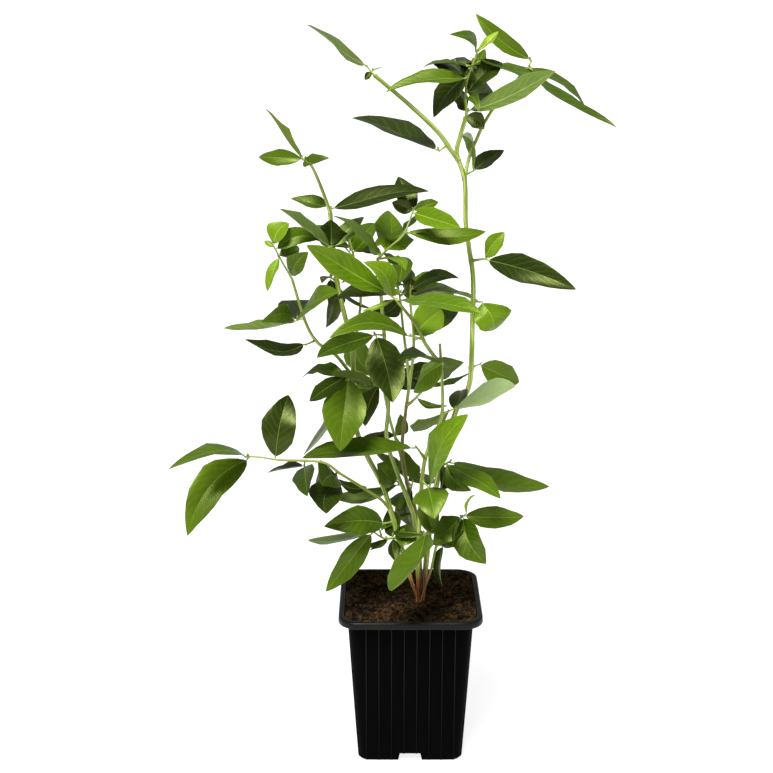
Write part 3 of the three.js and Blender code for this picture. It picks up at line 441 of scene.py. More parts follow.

# %% [markdown]
# ## The growth chart
#
# Six stems rise from the compost and eight boughs leave them. Each mass of leaves is a short
# shoot with its leading leaves, and may say how many side twigs chance adds. The leaves' tints
# are given in order, and most of them paint light and shade: young growth is fresh, leaves in
# full light are bright with painted light, shaded ones deep with painted shade, and those that
# show their backs pale or, where the light catches them, silver, a painted grey sheen.

# %% The chart of limbs
# What carries each limb, and where: the ground and the foot's bearing, or another limb and
# the share of its length. Then the radii of its foot and tip, and the places it passes.
LIMBS = {
    "stem_right": {"on": ("ground", 0), "radii": (1.9, 1.3), "course": [(13, 0, 150), (19, 4, 186),
        (24, 7, 204), (29, 9, 221), (37, 11, 238), (38, 10, 277), (38, 9, 304), (35, 8, 324), (33, 8, 338),
        (32, 8, 364), (27, 7, 380), (29, 7, 391), (32, 6, 402)]},
    "stem_low_right": {"on": ("ground", 300), "radii": (0.9, 0.8), "course": [(13, -13, 122),
        (17, -14, 141), (24, -15, 152), (30, -15, 157)]},
    "stem_front": {"on": ("ground", 240), "radii": (1.7, 0.8), "course": [(5, -13, 140), (7, -18, 185),
        (10, -20, 203), (16, -20, 217), (19, -20, 230), (18, -20, 255), (17, -20, 270)]},
    "stem_left": {"on": ("ground", 180), "radii": (1.7, 1.4), "course": [(0, -9, 116), (-8, -7, 144),
        (-17, -4, 174), (-27, -2, 194), (-34, -1, 213), (-35, 0, 242), (-37, 0, 267), (-45, 1, 304),
        (-49, 5, 345)]},
    "stem_middle": {"on": ("ground", 120), "radii": (1.5, 1.0), "course": [(3, -3, 147), (-1, -4, 164),
        (-8, -6, 183), (-15, -7, 207), (-14, -5, 236), (-20, 2, 316)]},
    "stem_back": {"on": ("ground", 60), "radii": (1.5, 0.8), "course": [(4, 14, 148), (-1, 16, 166),
        (-5, 19, 190), (-3, 20, 215), (2, 18, 258), (0, 18, 286)]},
    "bough_top_left": {"on": ("stem_right", 0.918), "radii": (1.4, 1.2), "course": [(23, 4, 383),
        (15, 2, 394), (-2, -1, 410), (-22, -6, 427)]},
    "bough_top_right": {"on": ("stem_right", 0.879), "radii": (1.1, 0.9), "course": [(35, 14, 378),
        (39, 18, 387), (44, 22, 397), (53, 26, 410), (69, 30, 428)]},
    "bough_front": {"on": ("stem_front", 0.93), "radii": (1.2, 0.9), "course": [(14, -21, 262),
        (8, -23, 271), (2, -24, 283), (-8, -24, 296)]},
    "bough_left": {"on": ("stem_left", 0.598), "radii": (1.1, 0.8), "course": [(-46, -4, 259),
        (-57, -8, 268), (-64, -12, 282), (-71, -14, 307)]},
    "bough_rear_left": {"on": ("stem_left", 0.618), "radii": (1.0, 0.8), "course": [(-34, 12, 265),
        (-31, 20, 290), (-35, 20, 312)]},
    "bough_low_left": {"on": ("stem_left", 0.25), "radii": (1.0, 0.65), "course": [(-19, -9, 168),
        (-28, -14, 176), (-43, -26, 190), (-54, -31, 199), (-79, -36, 202)]},
    "bough_rear_low": {"on": ("stem_back", 0.406), "radii": (1.1, 0.9), "course": [(-6, 34, 184),
        (-12, 48, 200), (-16, 58, 216)]},
    "bough_rear_high": {"on": ("stem_back", 0.732), "radii": (1.0, 0.8), "course": [(-2, 32, 248),
        (-4, 42, 262), (-6, 50, 280)]},
}
print("chart:", len(LIMBS), "limbs")

# %% The chart of leaf masses
NO_TWIGS = (0, 0, 0)
SHOOT_RADII = (1.0, 0.6)


def mass(carrier, place, shoot, tints, *lead, more=NO_TWIGS, radii=SHOOT_RADII):
    """A mass of leaves: the limb that carries its shoot and the share of that limb's length; the
    shoot's stretches, each (bearing, rise, length); and its leading leaves, with their tints in
    turn. A leaf is (share of the shoot, bearing, rise, length, width, roll) and, where it is
    bowed, its arch and its sway: how far its middle stands out of the blade's plane, and aside in
    it, as shares of the length. More is the number of side twigs, the bearing they spread about,
    and how widely. Radii are the shoot's, at its foot and its tip."""
    return {"on": (carrier, place), "shoot": shoot, "tints": tints, "lead": lead, "more": more,
            "radii": radii}


MASSES = {
    "leaves_top": mass("stem_right", 1, [(-100, 83, 18), (0, 72, 20)],
        "pale deep green deep deep deep green deep green green green fresh",
        (0.1, -30, 24, 62, 17, 52, -0.08), (0.1, 109, 37, 19, 10, -63, -0.01, 0.06),
        (0.3, -74, -14, 25, 7, 31, 0.13, -0.1), (0.4, 56, -5, 33, 18, 78, -0.1, -0.01),
        (0.36, 25, 36, 30, 17, 37, 0.08, -0.03), (0.52, 111, 9, 49, 24, -12, 0.09, 0.06),
        (0.6, -168, -9, 50, 13, -36, 0.04, 0.02), (0.66, 172, -51, 33, 18, -53, -0.01, 0.11),
        (0.78, 66, 23, 23, 7, 22, -0.07, 0.04), (0.9, 40, -9, 58, 17, 20, -0.06, 0.09),
        (1, -123, 19, 34, 8, -80, 0.12, 0.05), (1, 21, 41, 18, 7, 20, 0.01, 0.05), more=(1, 100, 90)),
    "leaves_top_right": mass("bough_top_right", 1, [(29, 54, 6)], "green green green",
        (1, 178, 39, 44, 11, -71, 0.07, -0.09), (0.4, -8, -37, 45, 18, 13, 0.08, -0.05),
        (0.3, -48, -24, 77, 13, -1, -0.05, 0.12)),
    "leaves_top_left": mass("bough_top_left", 1, [(180, 53, 6)], "pale fresh deep",
        (0.9, -128, 25, 58, 16, -46, -0.05, 0.03), (0.4, 24, 13, 8, 4, -8, 0.02, 0.02),
        (0.4, -132, -43, 7, 4, -49, -0.01, 0.01)),
    "leaves_top_inner_left": mass("bough_top_left", 0.16, [(-127, -18, 6)], "deep",
        (1, 132, 10, 81, 21, -9, -0.04, 0.04)),
    "leaves_top_inner_right": mass("stem_right", 0.884, [(-43, 26, 6)], "deep bright",
        (1, 51, 17, 33, 12, 23, -0.07, -0.07), (0.9, 97, 22, 45, 11, -84, -0.09, 0.12)),
    "leaves_right_spur": mass("stem_right", 0.718, [(-39, 14, 8)], "deep bright",
        (1, -37, -10, 65, 17, 57, 0.07), (0.95, 41, 41, 22, 11, 65, -0.07, -0.05)),
    "leaves_right_middle": mass("stem_right", 0.637, [(40, -10, 5)], "bright",
        (1, 10, -65, 20, 23, 94, 0.26, -0.08)),
    "leaves_right_low": mass("stem_right", 0.502, [(45, 7, 5)], "green",
        (0.9, 26, -27, 33, 17, 86, -0.04, 0.02)),
    "leaves_right_foot": mass("stem_right", 0.291, [(-60, 31, 8)], "green",
        (0.5, -55, -8, 55, 14, 22, -0.03, -0.04), (1, 6, -16, 67, 28, 12, -0.1, 0.07),
        (0.5, -37, -35, 24, 12, 71, 0.09, 0.12), more=(1, 90, 60)),
    "leaves_front_side": mass("stem_front", 0.752, [(-26, 28, 6)], "silver deep green",
        (1, -34, 26, 47, 23, 29, -0.07, -0.06), (0.9, 80, 5, 33, 12, -17, -0.02, 0.06),
        (0.4, 114, -28, 57, 18, 7, -0.06, -0.05)),
    "leaves_front_top": mass("stem_front", 0.9, [(-85, 50, 7)], "bright deep deep",
        (1, -129, -23, 31, 17, -86, -0.12, 0.03), (0.6, 71, -11, 47, 14, -108, 0.12, -0.02),
        (1, -127, 13, 47, 16, -8, 0.02, -0.02)),
    "leaves_front_heart": mass("bough_front", 1, [(154, 35, 8)], "bright bright bright fresh",
        (1, -157, 32, 60, 17, -73, -0.1, 0.02), (0.5, -158, 50, 29, 14, -72, 0.12, 0.12),
        (0.25, -40, 0, 64, 20, 12, 0.04, 0.06), (0.6, 53, 29, 7, 4, 51, 0.02, 0.05), more=(1, 110, 60)),
    "leaves_front_fork": mass("bough_front", 0.42, [(-150, 25, 5)], "green bright",
        (1, -154, 4, 54, 13, -47, 0.1, 0.12), (0.7, 64, 11, 42, 19, 45, -0.02, -0.03)),
    "leaves_front_low": mass("stem_front", 0.495, [(-60, -14, 7)], "bright green green",
        (0.8, -38, 61, 59, 24, 61, 0.09, -0.02), (0.6, -82, -24, 29, 21, 13, 0.09, -0.02),
        (0.8, 60, -76, 34, 14, 139, 0.04, 0.09)),
    "leaves_front_left": mass("stem_front", 0.58, [(-125, 46, 10)], "green",
        (1, 157, -12, 79, 21, -21, -0.03)),
    "leaves_back_top": mass("stem_back", 1, [(91, 84, 9)], "deep green deep",
        (0.4, 89, 50, 14, 9, -5, -0.01), (0.5, 11, -8, 45, 21, -4, 0.09, -0.04),
        (0.9, -6, 14, 31, 13, 34, 0.11, -0.04), more=(2, 110, 120)),
    "leaves_back_side": mass("stem_back", 0.885, [(20, 15, 6)], "green",
        (1, 46, 23, 34, 14, 25, 0.08, -0.01), more=(1, 80, 60)),
    "leaves_back_middle": mass("stem_back", 0.665, [(-16, 48, 11), (-48, 65, 6)], "green",
        (0.85, 19, 12, 32, 9, 5, -0.07, 0.09), (0.3, -24, -7, 22, 5, 38, -0.12, 0.12),
        (1, 104, 58, 8, 3, 5)),
    "leaves_back_low": mass("stem_back", 0.526, [(126, 38, 6)], "deep green", (1, 139, -16, 32, 12, -16, 0),
        (0.8, 78, 38, 18, 10, 42, -0.03, 0.14)),
    "leaves_back_foot": mass("stem_back", 0.372, [(70, 40, 6)], "green",
        (1, 104, 32, 26, 15, 18, -0.14, 0.02), more=(2, 80, 90)),
    "leaves_middle_top": mass("stem_middle", 1, [(-8, 46, 10), (-7, 44, 12), (0, 68, 16)],
        "bright deep green bright green deep deep green deep", (0.2, 86, 31, 39, 26, 34, -0.08, 0.12),
        (0.97, 164, 20, 14, 9, -82, -0.06, 0.03), (1, 21, 15, 17, 8, 48, 0.01, 0.01),
        (0.95, -45, -7, 39, 13, 52, -0.01), (0.63, 2, 0, 49, 14, 37, 0.02, 0.13),
        (0.14, 124, -4, 21, 8, -38, 0.14, -0.01), (0.16, 49, -21, 20, 6, 77, -0.05, 0.08),
        (0.1, -157, 41, 40, 20, -28, 0.03, -0.03), (0.97, 114, 41, 28, 14, -12, -0.08, 0.01),
        more=(1, 60, 40)),
    "leaves_middle_front": mass("stem_middle", 0.798, [(-125, 15, 7)], "deep green",
        (1, -70, -50, 46, 23, 23, -0.1, -0.03), (0.9, -130, -5, 53, 13, -45, -0.1, 0.06)),
    "leaves_middle_side": mass("stem_middle", 0.634, [(-160, 52, 6)], "deep",
        (1, -140, -66, 27, 13, -26, 0.01, 0.06), more=(1, 120, 60)),
    "leaves_middle_low": mass("stem_middle", 0.359, [(125, 20, 6)], "green pale",
        (0.5, -154, 44, 20, 18, -74, -0.04, -0.07), (0.1, 168, -13, 48, 12, -29, -0.1, -0.1)),
    "leaves_left_top": mass("stem_left", 1, [(164, 69, 15), (180, 66, 14), (180, 38, 7)],
        "deep green green green green", (0.08, -1, 10, 61, 17, 32, 0.05, 0.05),
        (0.12, 159, 8, 25, 11, -35, -0.12, 0.08), (0.97, -41, 6, 21, 11, 39, -0.03, 0.2),
        (0.98, 161, 0, 29, 10, -74, 0.04), (1, -158, 53, 38, 11, 4, -0.02, 0.11), radii=(1.35, 0.9)),
    "leaves_left_high": mass("stem_left", 0.898, [(-101, 45, 6)], "pale deep pale",
        (0.8, -138, 35, 47, 16, -45, 0, -0.02), (1, 93, 64, 17, 18, 23, 0),
        (0.9, 44, 30, 31, 11, 32, 0.04, -0.01), more=(1, 110, 40)),
    "leaves_left_middle": mass("stem_left", 0.835, [(122, 15, 5)], "deep",
        (1, 107, -19, 24, 11, -17, 0.03, 0.12)),
    "leaves_left_node": mass("stem_left", 0.593, [(-120, 30, 6)], "green deep green green",
        (0.6, -102, -60, 47, 26, -13, 0.03, 0.01), (1, -135, -18, 33, 11, -46, -0.08, 0.04),
        (1, 154, -9, 32, 12, -25, 0.11, 0.04), (0.5, 141, -56, 70, 21, -45, -0.06, -0.09)),
    "leaves_rear_left": mass("bough_rear_left", 1, [(-88, 76, 6)], "bright",
        (0.9, 62, 23, 24, 12, 43, 0.02, 0.01), more=(2, 100, 100)),
    "leaves_outer_left": mass("bough_left", 1, [(-180, 61, 13), (180, 63, 11)],
        "bright green green bright bright green", (0.97, 19, 51, 16, 14, 42, 0.14, -0.1),
        (0.86, 12, 10, 27, 12, 59, 0.03, -0.17), (0.67, 56, 7, 20, 9, 52, -0.03, -0.01),
        (0.9, 147, 23, 8, 4, -37, -0.01, -0.02), (0.66, -120, -56, 23, 9, 11, 0.04, -0.02),
        (0.13, -35, 50, 21, 12, 99, 0.08, -0.07)),
    "leaves_outer_middle": mass("bough_left", 0.69, [(-144, -10, 5)], "green pale deep green deep",
        (1, -122, 10, 34, 12, -75, 0.12, 0.12), (1, 179, -6, 43, 15, -6, -0.04, -0.11),
        (0.9, 118, -4, 14, 6, -55, -0.02), (0.6, -46, 31, 44, 20, 42, 0.03, -0.01),
        (0.6, 78, 5, 42, 27, -6, -0.01, -0.11)),
    "leaves_outer_low": mass("bough_left", 0.47, [(-140, -12, 5)], "deep",
        (1, -135, 13, 49, 13, -34, -0.08, -0.12)),
    "leaves_low_left_tip": mass("bough_low_left", 1, [(-168, 13, 10), (-165, 9, 8)], "green green deep",
        (1, -127, 8, 68, 17, -12, 0.14, -0.06), (0.97, -135, -38, 61, 21, -45, 0.12, 0.12),
        (0.15, 64, 64, 40, 21, 27, 0.17, -0.03)),
    "leaves_low_left_middle": mass("bough_low_left", 0.83, [(100, -45, 5)], "deep",
        (1, 146, -19, 30, 10, -11, 0, 0.01), (1, -84, -12, 36, 15, 32, 0.06, -0.03)),
    "leaves_low_left_inner": mass("bough_low_left", 0.58, [(83, -50, 7)], "deep deep",
        (1, -99, -15, 37, 20, -19, -0.04, 0.12), (0.6, 113, -22, 41, 19, -96, -0.12, 0.08),
        more=(1, 100, 60)),
    "leaves_foot_left_high": mass("stem_left", 0.22, [(-133, 8, 5)], "green",
        (1, -152, 7, 43, 18, -67, 0.11, 0.05)),
    "leaves_foot_left": mass("stem_left", 0.177, [(-147, 11, 8), (-164, 37, 9)], "pale green deep",
        (1, 139, -19, 60, 17, -8, -0.06, -0.05), (1, -141, -39, 48, 16, -69, -0.05, -0.01),
        (0.3, -161, -15, 19, 7, -1, -0.11, 0.08), more=(1, 90, 60)),
    "leaves_foot_front": mass("stem_front", 0.27, [(-40, 40, 8)], "green deep",
        (0.5, -107, -6, 77, 27, 29, -0.07, -0.01), (0.4, 144, -10, 26, 10, -38, 0.1, -0.07)),
    "leaves_low_right_tip": mass("stem_low_right", 1, [(-29, 39, 5)], "green green green fresh",
        (0.5, -27, 9, 41, 14, 75, -0.1, 0.03), (0.4, -142, -30, 27, 16, -39, 0.03, -0.01),
        (0.4, -48, -50, 33, 20, 58, 0.14, 0.07), (1, 42, 50, 14, 7, -57, 0.1, -0.01)),
    "leaves_low_right_middle": mass("stem_low_right", 0.649, [(34, -10, 5)], "green deep",
        (1, 64, 2, 18, 12, 57, -0.02, -0.04), (0.6, -145, -85, 22, 7, -14, 0.12, 0.07)),
    "leaves_rear_low": mass("bough_rear_low", 1, [(110, 45, 12)], "green",
        (1, 108, 25, 49, 19, -11, 0, -0.19), (0.5, 172, -10, 40, 16, -39, 0.07, -0.03),
        (0.6, 30, -8, 36, 16, 28), more=(3, 110, 200)),
    "leaves_rear_high": mass("bough_rear_high", 1, [(100, 50, 12)], "green",
        (1, 88, 18, 40, 13, 6, 0.06, 0.04), (0.5, 167, -6, 43, 15, -22, 0.1),
        (0.6, 19, -4, 39, 18, 65, 0.03, 0.03), more=(4, 100, 200)),
}
print("chart:", len(MASSES), "masses of leaves")

# %% [markdown]
# ## Growing the limbs
#
# A stem stands straight on the ground before it bends. A bough or shoot leaves its carrier at
# a fork of at least half a right angle, or carries straight on from a tip. The solid model
# keeps a hair's breadth of air at each fork; here the wood runs on into its carrier, as it does
# on the plant.

# %% Grow limbs and shoots from the chart
GAP = 0.3                   # the solid model's air at a foot or a fork
SOIL_LEVEL = 98.2
CROWN = (6.4, -5.8)         # the stems' feet stand on a ring round this place
CROWN_RING = 2.0            # its radius: they draw together into one crown
ELBOW = 2.5                 # a limb keeps its first direction for this far, a shoot for half
LEAST_FORK = 45             # degrees
SLIMMER = 0.95              # a shoot is never thicker than this share of its carrier


def leave(carrier, share, radius, towards):
    """Where something of that radius leaves its carrier's bark, and which way it starts."""
    centre, along = carrier.at(share), carrier.way(share)
    if share == 1:
        return centre + along * GAP, along
    course = unit(towards)
    lean = course @ along
    outward = unit(course - along * lean)
    fork = max(math.radians(LEAST_FORK), math.acos(abs(lean)))
    way = outward * math.sin(fork) + along * math.copysign(math.cos(fork), lean)
    reach = (carrier.radius(share) + GAP + radius * math.cos(fork)) / math.sin(fork)
    return centre + way * reach, way


limbs, shoots = {}, {}
for name, plan in LIMBS.items():
    carrier, place = plan["on"]
    course = [np.array(stop, float) for stop in plan["course"]]
    if carrier == "ground":
        foot = np.array([*CROWN, SOIL_LEVEL + GAP]) + heading(place, 0) * CROWN_RING
        way = np.array([0, 0, 1])
    else:
        foot = limbs[carrier].at(place)
        way = unit(course[0] - foot)
    limbs[name] = Limb([foot, foot + way * ELBOW, *course], plan["radii"])
for name, plan in MASSES.items():
    carrier, place = plan["on"]
    stout, fine = plan["radii"]
    radius = min(stout, SLIMMER * limbs[carrier].radius(place))
    foot, way = leave(limbs[carrier], place, radius, heading(*plan["shoot"][0][:2]))
    stops = [foot, foot + way * ELBOW / 2]
    for bearing, rise, length in plan["shoot"]:
        stops.append(stops[-1] + heading(bearing, rise) * length)
    shoots[name] = Limb(stops, (radius, fine))
print("grown: %.1f m of stems and boughs" % (sum(limb.length for limb in limbs.values()) * MM))

# %% [markdown]
# ## One leaf, and all of them
#
# A blueberry leaf is a pointed oval, folded a little along a sunken midrib, each half swelling
# up from it and waving faintly at the margin. It hangs in a shallow arch and twists slightly.
# As a surface it has two parameters: how far along the midrib, and how far across. All the
# leaves are worked out at once, as one array of leaf, station, place and xyz.

# %% The blade as a surface
STALK_SHARE = 0.05          # of a leaf's length
MIDDLE = 0.55               # of the half width: a line between the midrib and the margin
SWELL = 0.1                 # of the half width, each half's own rise
CURL = 0.05                 # of the half width, how far the margin bends down again
BLADE_THICKNESS = 0.24
RIB_HALF = 0.3              # half the midrib's width at the stalk
RIB_TAPER = 0.75            # the share of that width which is gone by the tip
RIB_MOST = 0.3              # of the half width: the midrib is never wider
RIB_RELIEF = 0.2            # how far the midrib stands out below
RIB_SINK = 0.6              # of that relief: how far it is sunk above
NOD_PEAK = 6.75             # makes the nod's curve, u squared times 1 - u, 1 at its highest
LEVEL_AT = 0.4              # a blade's twist is measured from here
STATIONS = 11
ALONG = 0.5 - 0.5 * np.cos(np.pi * (np.arange(STATIONS) + 0.6) / (STATIONS + 0.2))
OUTER, MIDRIB, UNDERSIDE = 0, 1, 2
# The finish of the eight strips round a blade: two, the midrib and two above, three below.
STRIPS = np.array([OUTER, OUTER, MIDRIB, OUTER, OUTER, UNDERSIDE, MIDRIB, UNDERSIDE])
# A margin's own slow waves: the share of the half width, waves to a blade, and phase factor.
RAGGED = [(0.07, 1.6, 1), (0.035, 2.9, 3)]
# What chance gives each leaf: the least, and how much may be added.
HABITS = {"twist": (-0.55, 1.1), "fold": (8, 20), "nod": (0.0, 0.06),
          "wave": (0.04, 0.14), "waves": (1.1, 1.4), "phase": (0, 2 * np.pi),
          "left": (0, 2 * np.pi), "right": (0, 2 * np.pi)}


def outline(u):
    """Share of the half width along the blade: a sine that is drawn out towards the tip."""
    return np.sin(np.pi * u ** 0.85) ** 0.78


def ragged(u, phase):
    """How far a margin strays, as a share of the half width: slow waves, still at both ends."""
    return np.sin(np.pi * u) * sum(s * np.sin(2 * np.pi * n * u + k * phase) for s, n, k in RAGGED)


def leaf_axes(sheets):
    """Each leaf's own directions: along it, to its side, and out of its face."""
    bearing, rise, roll = sheets[:, 1], sheets[:, 2], np.radians(sheets[:, 5])[:, None]
    level = heading(bearing - 90, 0 * rise)
    along = heading(bearing, rise)
    upper = np.cross(level, along)
    side = level * np.cos(roll) - upper * np.sin(roll)
    return along, side, upper * np.cos(roll) + level * np.sin(roll)


def blades(feet, sheets, habits):
    """Rings and poles of every blade. A ring runs margin, middle, midrib, midrib, middle,
    margin above, and back under the midrib. The columns of habits are named in HABITS."""
    along, side, face = (a[:, None] for a in leaf_axes(sheets))
    length, half = sheets[:, 3] * (1 - STALK_SHARE), sheets[:, 4] / 2
    arch, sway = sheets[:, 6], sheets[:, 7]
    start = feet + along[:, 0] * (STALK_SHARE * sheets[:, 3])[:, None]
    twist, fold, nod, wave, waves, phase, left, right = (habits[:, [k]] for k in range(len(HABITS)))

    def centre(u):
        """The midrib: an arch out of the leaf's plane with a nod at the tip, and a sway in it."""
        bow = 4 * u * (1 - u)
        droop = bow * arch[:, None] + NOD_PEAK * u ** 2 * (1 - u) * nod
        return start[:, None] + (along * u[..., None] + face * droop[..., None]
                                 + side * (bow * sway[:, None])[..., None]) * length[:, None, None]

    u = ALONG[None]
    wide = half[:, None] * outline(u)
    rib = np.minimum(RIB_HALF * (1 - RIB_TAPER * u), RIB_MOST * wide)
    lefts, rights = wide * (1 + ragged(u, left)), wide * (1 + ragged(u, right))
    across = np.stack([-lefts, -MIDDLE * lefts, -rib, rib, MIDDLE * rights, rights, rib, -rib], axis=-1)
    ripple = (wave * half[:, None] * np.sin(2 * np.pi * waves * u + phase) * np.sin(np.pi * u))[..., None]
    tilt = np.sin(np.radians(fold))[..., None]
    hand = np.where(across < 0, -1, 1)
    lift = tilt * np.abs(across) + ripple * np.abs(across) / half[:, None, None] * hand
    lift[..., [1, 4]] += SWELL * wide[..., None]
    lift[..., [0, 5]] -= CURL * wide[..., None]
    lift[..., [2, 3]] -= RIB_RELIEF * (1 - u[..., None]) * RIB_SINK
    lift[..., [6, 7]] -= BLADE_THICKNESS + RIB_RELIEF * (1 - u[..., None])
    turn = (twist * (u - LEVEL_AT))[..., None, None]
    lean = side[..., None, :] * np.cos(turn) + face[..., None, :] * np.sin(turn)
    stand = face[..., None, :] * np.cos(turn) - side[..., None, :] * np.sin(turn)
    rings = centre(u)[..., None, :] + lean * across[..., None] + stand * lift[..., None]
    poles = np.concatenate([centre(np.zeros((1, 1))), centre(np.ones((1, 1)))], axis=1)
    return rings, poles


print("blade: widest at %.2f of its length" % ALONG[np.argmax(outline(ALONG))])

# %% [markdown]
# ## Room to grow
#
# Chance doesn't look where it is going, so each new twig and leaf is tried against what is
# already there. A leaf is kept as a scatter of points on its blade; if one lies too near
# another leaf or a limb, the leaf turns a little and tries again, and if no turn helps it is
# left out.

# %% Keep leaves apart
LEAF_CLEARANCE = 2.2
LIMB_CLEARANCE = 0.9
LIMB_POINTS = 2             # millimetres between the points that stand for a limb
SCATTER_ALONG = np.linspace(0.25, 0.97, 7)
SCATTER_ACROSS = np.array([-0.8, 0, 0.8])       # of the half width
# What a leaf may try for room, as changes of bearing, rise and roll in degrees.
TURNS = [(0, 0, 0), (0, 0, 15), (0, 0, -15), (0, 8, 0), (0, -8, 0), (8, 0, 0), (-8, 0, 0),
         (0, 0, 35), (0, 0, -35), (16, 0, 0), (-16, 0, 0), (0, 16, 0), (0, -16, 0), (16, 16, 0),
         (-16, 16, 0), (16, -16, 0), (-16, -16, 0)]
taken = {"points": [], "radii": []}


def scatter(foot, sheet):
    """Points over a leaf: three across at each of a few stations."""
    along, side, face = leaf_axes(sheet[None])
    u = SCATTER_ALONG[:, None, None]
    across = SCATTER_ACROSS[None, :, None] * outline(u) * sheet[4] / 2
    bow = 4 * sheet[6] * sheet[3] * u * (1 - u)
    ahead = along * sheet[3] * (STALK_SHARE + (1 - STALK_SHARE) * u)
    return (foot + ahead + side * across + face * bow).reshape(-1, 3)


def is_free(points, radius):
    """Whether nothing that is already there lies within the radius, and its own, of a point."""
    near = np.linalg.norm(np.vstack(taken["points"])[None] - points[:, None], axis=2)
    return bool((near > radius + np.concatenate(taken["radii"])[None]).all())


def take(points, radius):
    """Keeps the points, each with a radius, from those that come later."""
    taken["points"].append(points)
    taken["radii"].append(np.full(len(points), radius))


for limb in [*limbs.values(), *shoots.values()]:
    shares = np.linspace(0, 1, max(2, int(limb.length / LIMB_POINTS)))
    take(limb.at(shares), limb.radii[0] + LIMB_CLEARANCE)
print("points on the limbs:", sum(len(points) for points in taken["points"]))

# %% [markdown]
# ## Leaves from the chart, and leaves by chance
#
# The leading leaves go where the chart says. Then the dice deal out side twigs, each with a
# leaf at its middle and one at its tip, and each of those twigs carries a finer one with small
# leaves of its own, down to the length of a fingernail.

# %% Plant the leading leaves
ROOT = 0.8                  # no leaf starts nearer than this to its carrier's tip
LEAF_BOW = (0.02, 0)        # the arch and the sway of a leaf whose row doesn't give them
leaves = []                 # each a foot, a sheet of eight numbers, and a tint


def foot_on(carrier, share):
    """Where on its carrier's middle line a leaf starts."""
    return carrier.at(min(share, 1 - ROOT / carrier.length))


def plant(name, plan):
    """Puts a plan's leading leaves on a mass's shoot; the tints are used in turn."""
    tints = plan["tints"].split()
    for k, row in enumerate(plan["lead"]):
        sheet = np.array([*row, *LEAF_BOW[len(row) - 6:]], float)
        foot = foot_on(shoots[name], sheet[0])
        leaves.append((foot, sheet, tints[k % len(tints)]))
        take(scatter(foot, sheet), LEAF_CLEARANCE)


for name, plan in MASSES.items():
    plant(name, plan)
print("leading leaves:", len(leaves))

# %% Deal out side twigs
SEED = 4127
TWIG = {"share": (0.3, 0.6), "rise": (5, 35), "length": (9, 8), "radii": (0.6, 0.5)}
TWIG_LEAVES = [(0.55, 60), (1, -20)]        # the share of the twig, and degrees aside
TWIG_LEAF = {"rise": (-25, 50), "length": (24, 14), "slimness": 0.4, "roll": (-30, 60)}
TWIG_TEST = np.linspace(0.4, 1, 4)          # a twig has room if these shares of it have
FINE_TWIG = {"share": (0.35, 0.4), "rise": (-10, 50), "length": (5, 6), "radii": (0.45, 0.35)}
FINE_LEAF = {"rise": (-20, 55), "length": (9, 9), "slimness": 0.42, "roll": (-30, 60)}
FINE_SPREAD = 60
# Bright paints light on a twig's leaf and deep paints shade; they come in turn.
TWIG_TINTS = ("green", "deep", "green", "bright", "deep")
twigs = []


def pick(span, chance):
    """The least value and how much chance may add to it."""
    return span[0] + span[1] * next(chance)


def put_leaf(carrier, sheet, tint):
    """Puts the leaf on its carrier, turned a little if its own place is taken."""
    foot = foot_on(carrier, sheet[0])
    for bearing, rise, roll in TURNS:
        turned = sheet + np.array([0, bearing, rise, 0, 0, roll, 0, 0])
        points = scatter(foot, turned)
        if is_free(points, 0):
            leaves.append((foot, turned, tint))
            take(points, LEAF_CLEARANCE)
            return


def put_twig(carrier, bearing, spread_about, habit, leaf, chance, tint):
    """A side twig by chance, with a leaf at its middle and one at its tip."""
    foot = carrier.at(pick(habit["share"], chance))
    way = pick((bearing - spread_about / 2, spread_about), chance)
    rise = pick(habit["rise"], chance)
    reach = heading(np.float64(way), rise) * pick(habit["length"], chance)
    twig = Limb([foot, foot + reach], habit["radii"])
    hand = -1 if next(chance) < 0.5 else 1
    sheets = []
    for share, off in TWIG_LEAVES:
        length = pick(leaf["length"], chance)
        sheets.append([share, way + hand * off, pick(leaf["rise"], chance), length,
                       leaf["slimness"] * length, pick(leaf["roll"], chance), *LEAF_BOW])
    if not is_free(twig.at(TWIG_TEST), habit["radii"][0]):
        return
    twigs.append(twig)
    for sheet in sheets:
        put_leaf(twig, np.array(sheet), tint)


chance = dice(SEED)
for name, plan in MASSES.items():
    count, bearing, spread_about = plan["more"]
    for _ in range(count):
        tint = TWIG_TINTS[len(twigs) % len(TWIG_TINTS)]
        put_twig(shoots[name], bearing, spread_about, TWIG, TWIG_LEAF, chance, tint)
coarse = list(twigs)
fine_chance = dice(SEED + 1)
for k, twig in enumerate(coarse):
    tint = TWIG_TINTS[k % len(TWIG_TINTS)]
    put_twig(twig, 360 * next(fine_chance), FINE_SPREAD, FINE_TWIG, FINE_LEAF, fine_chance, tint)
finer = len(twigs) - len(coarse)
print("side twigs: %d, finer twigs: %d, leaves in all: %d" % (len(coarse), finer, len(leaves)))
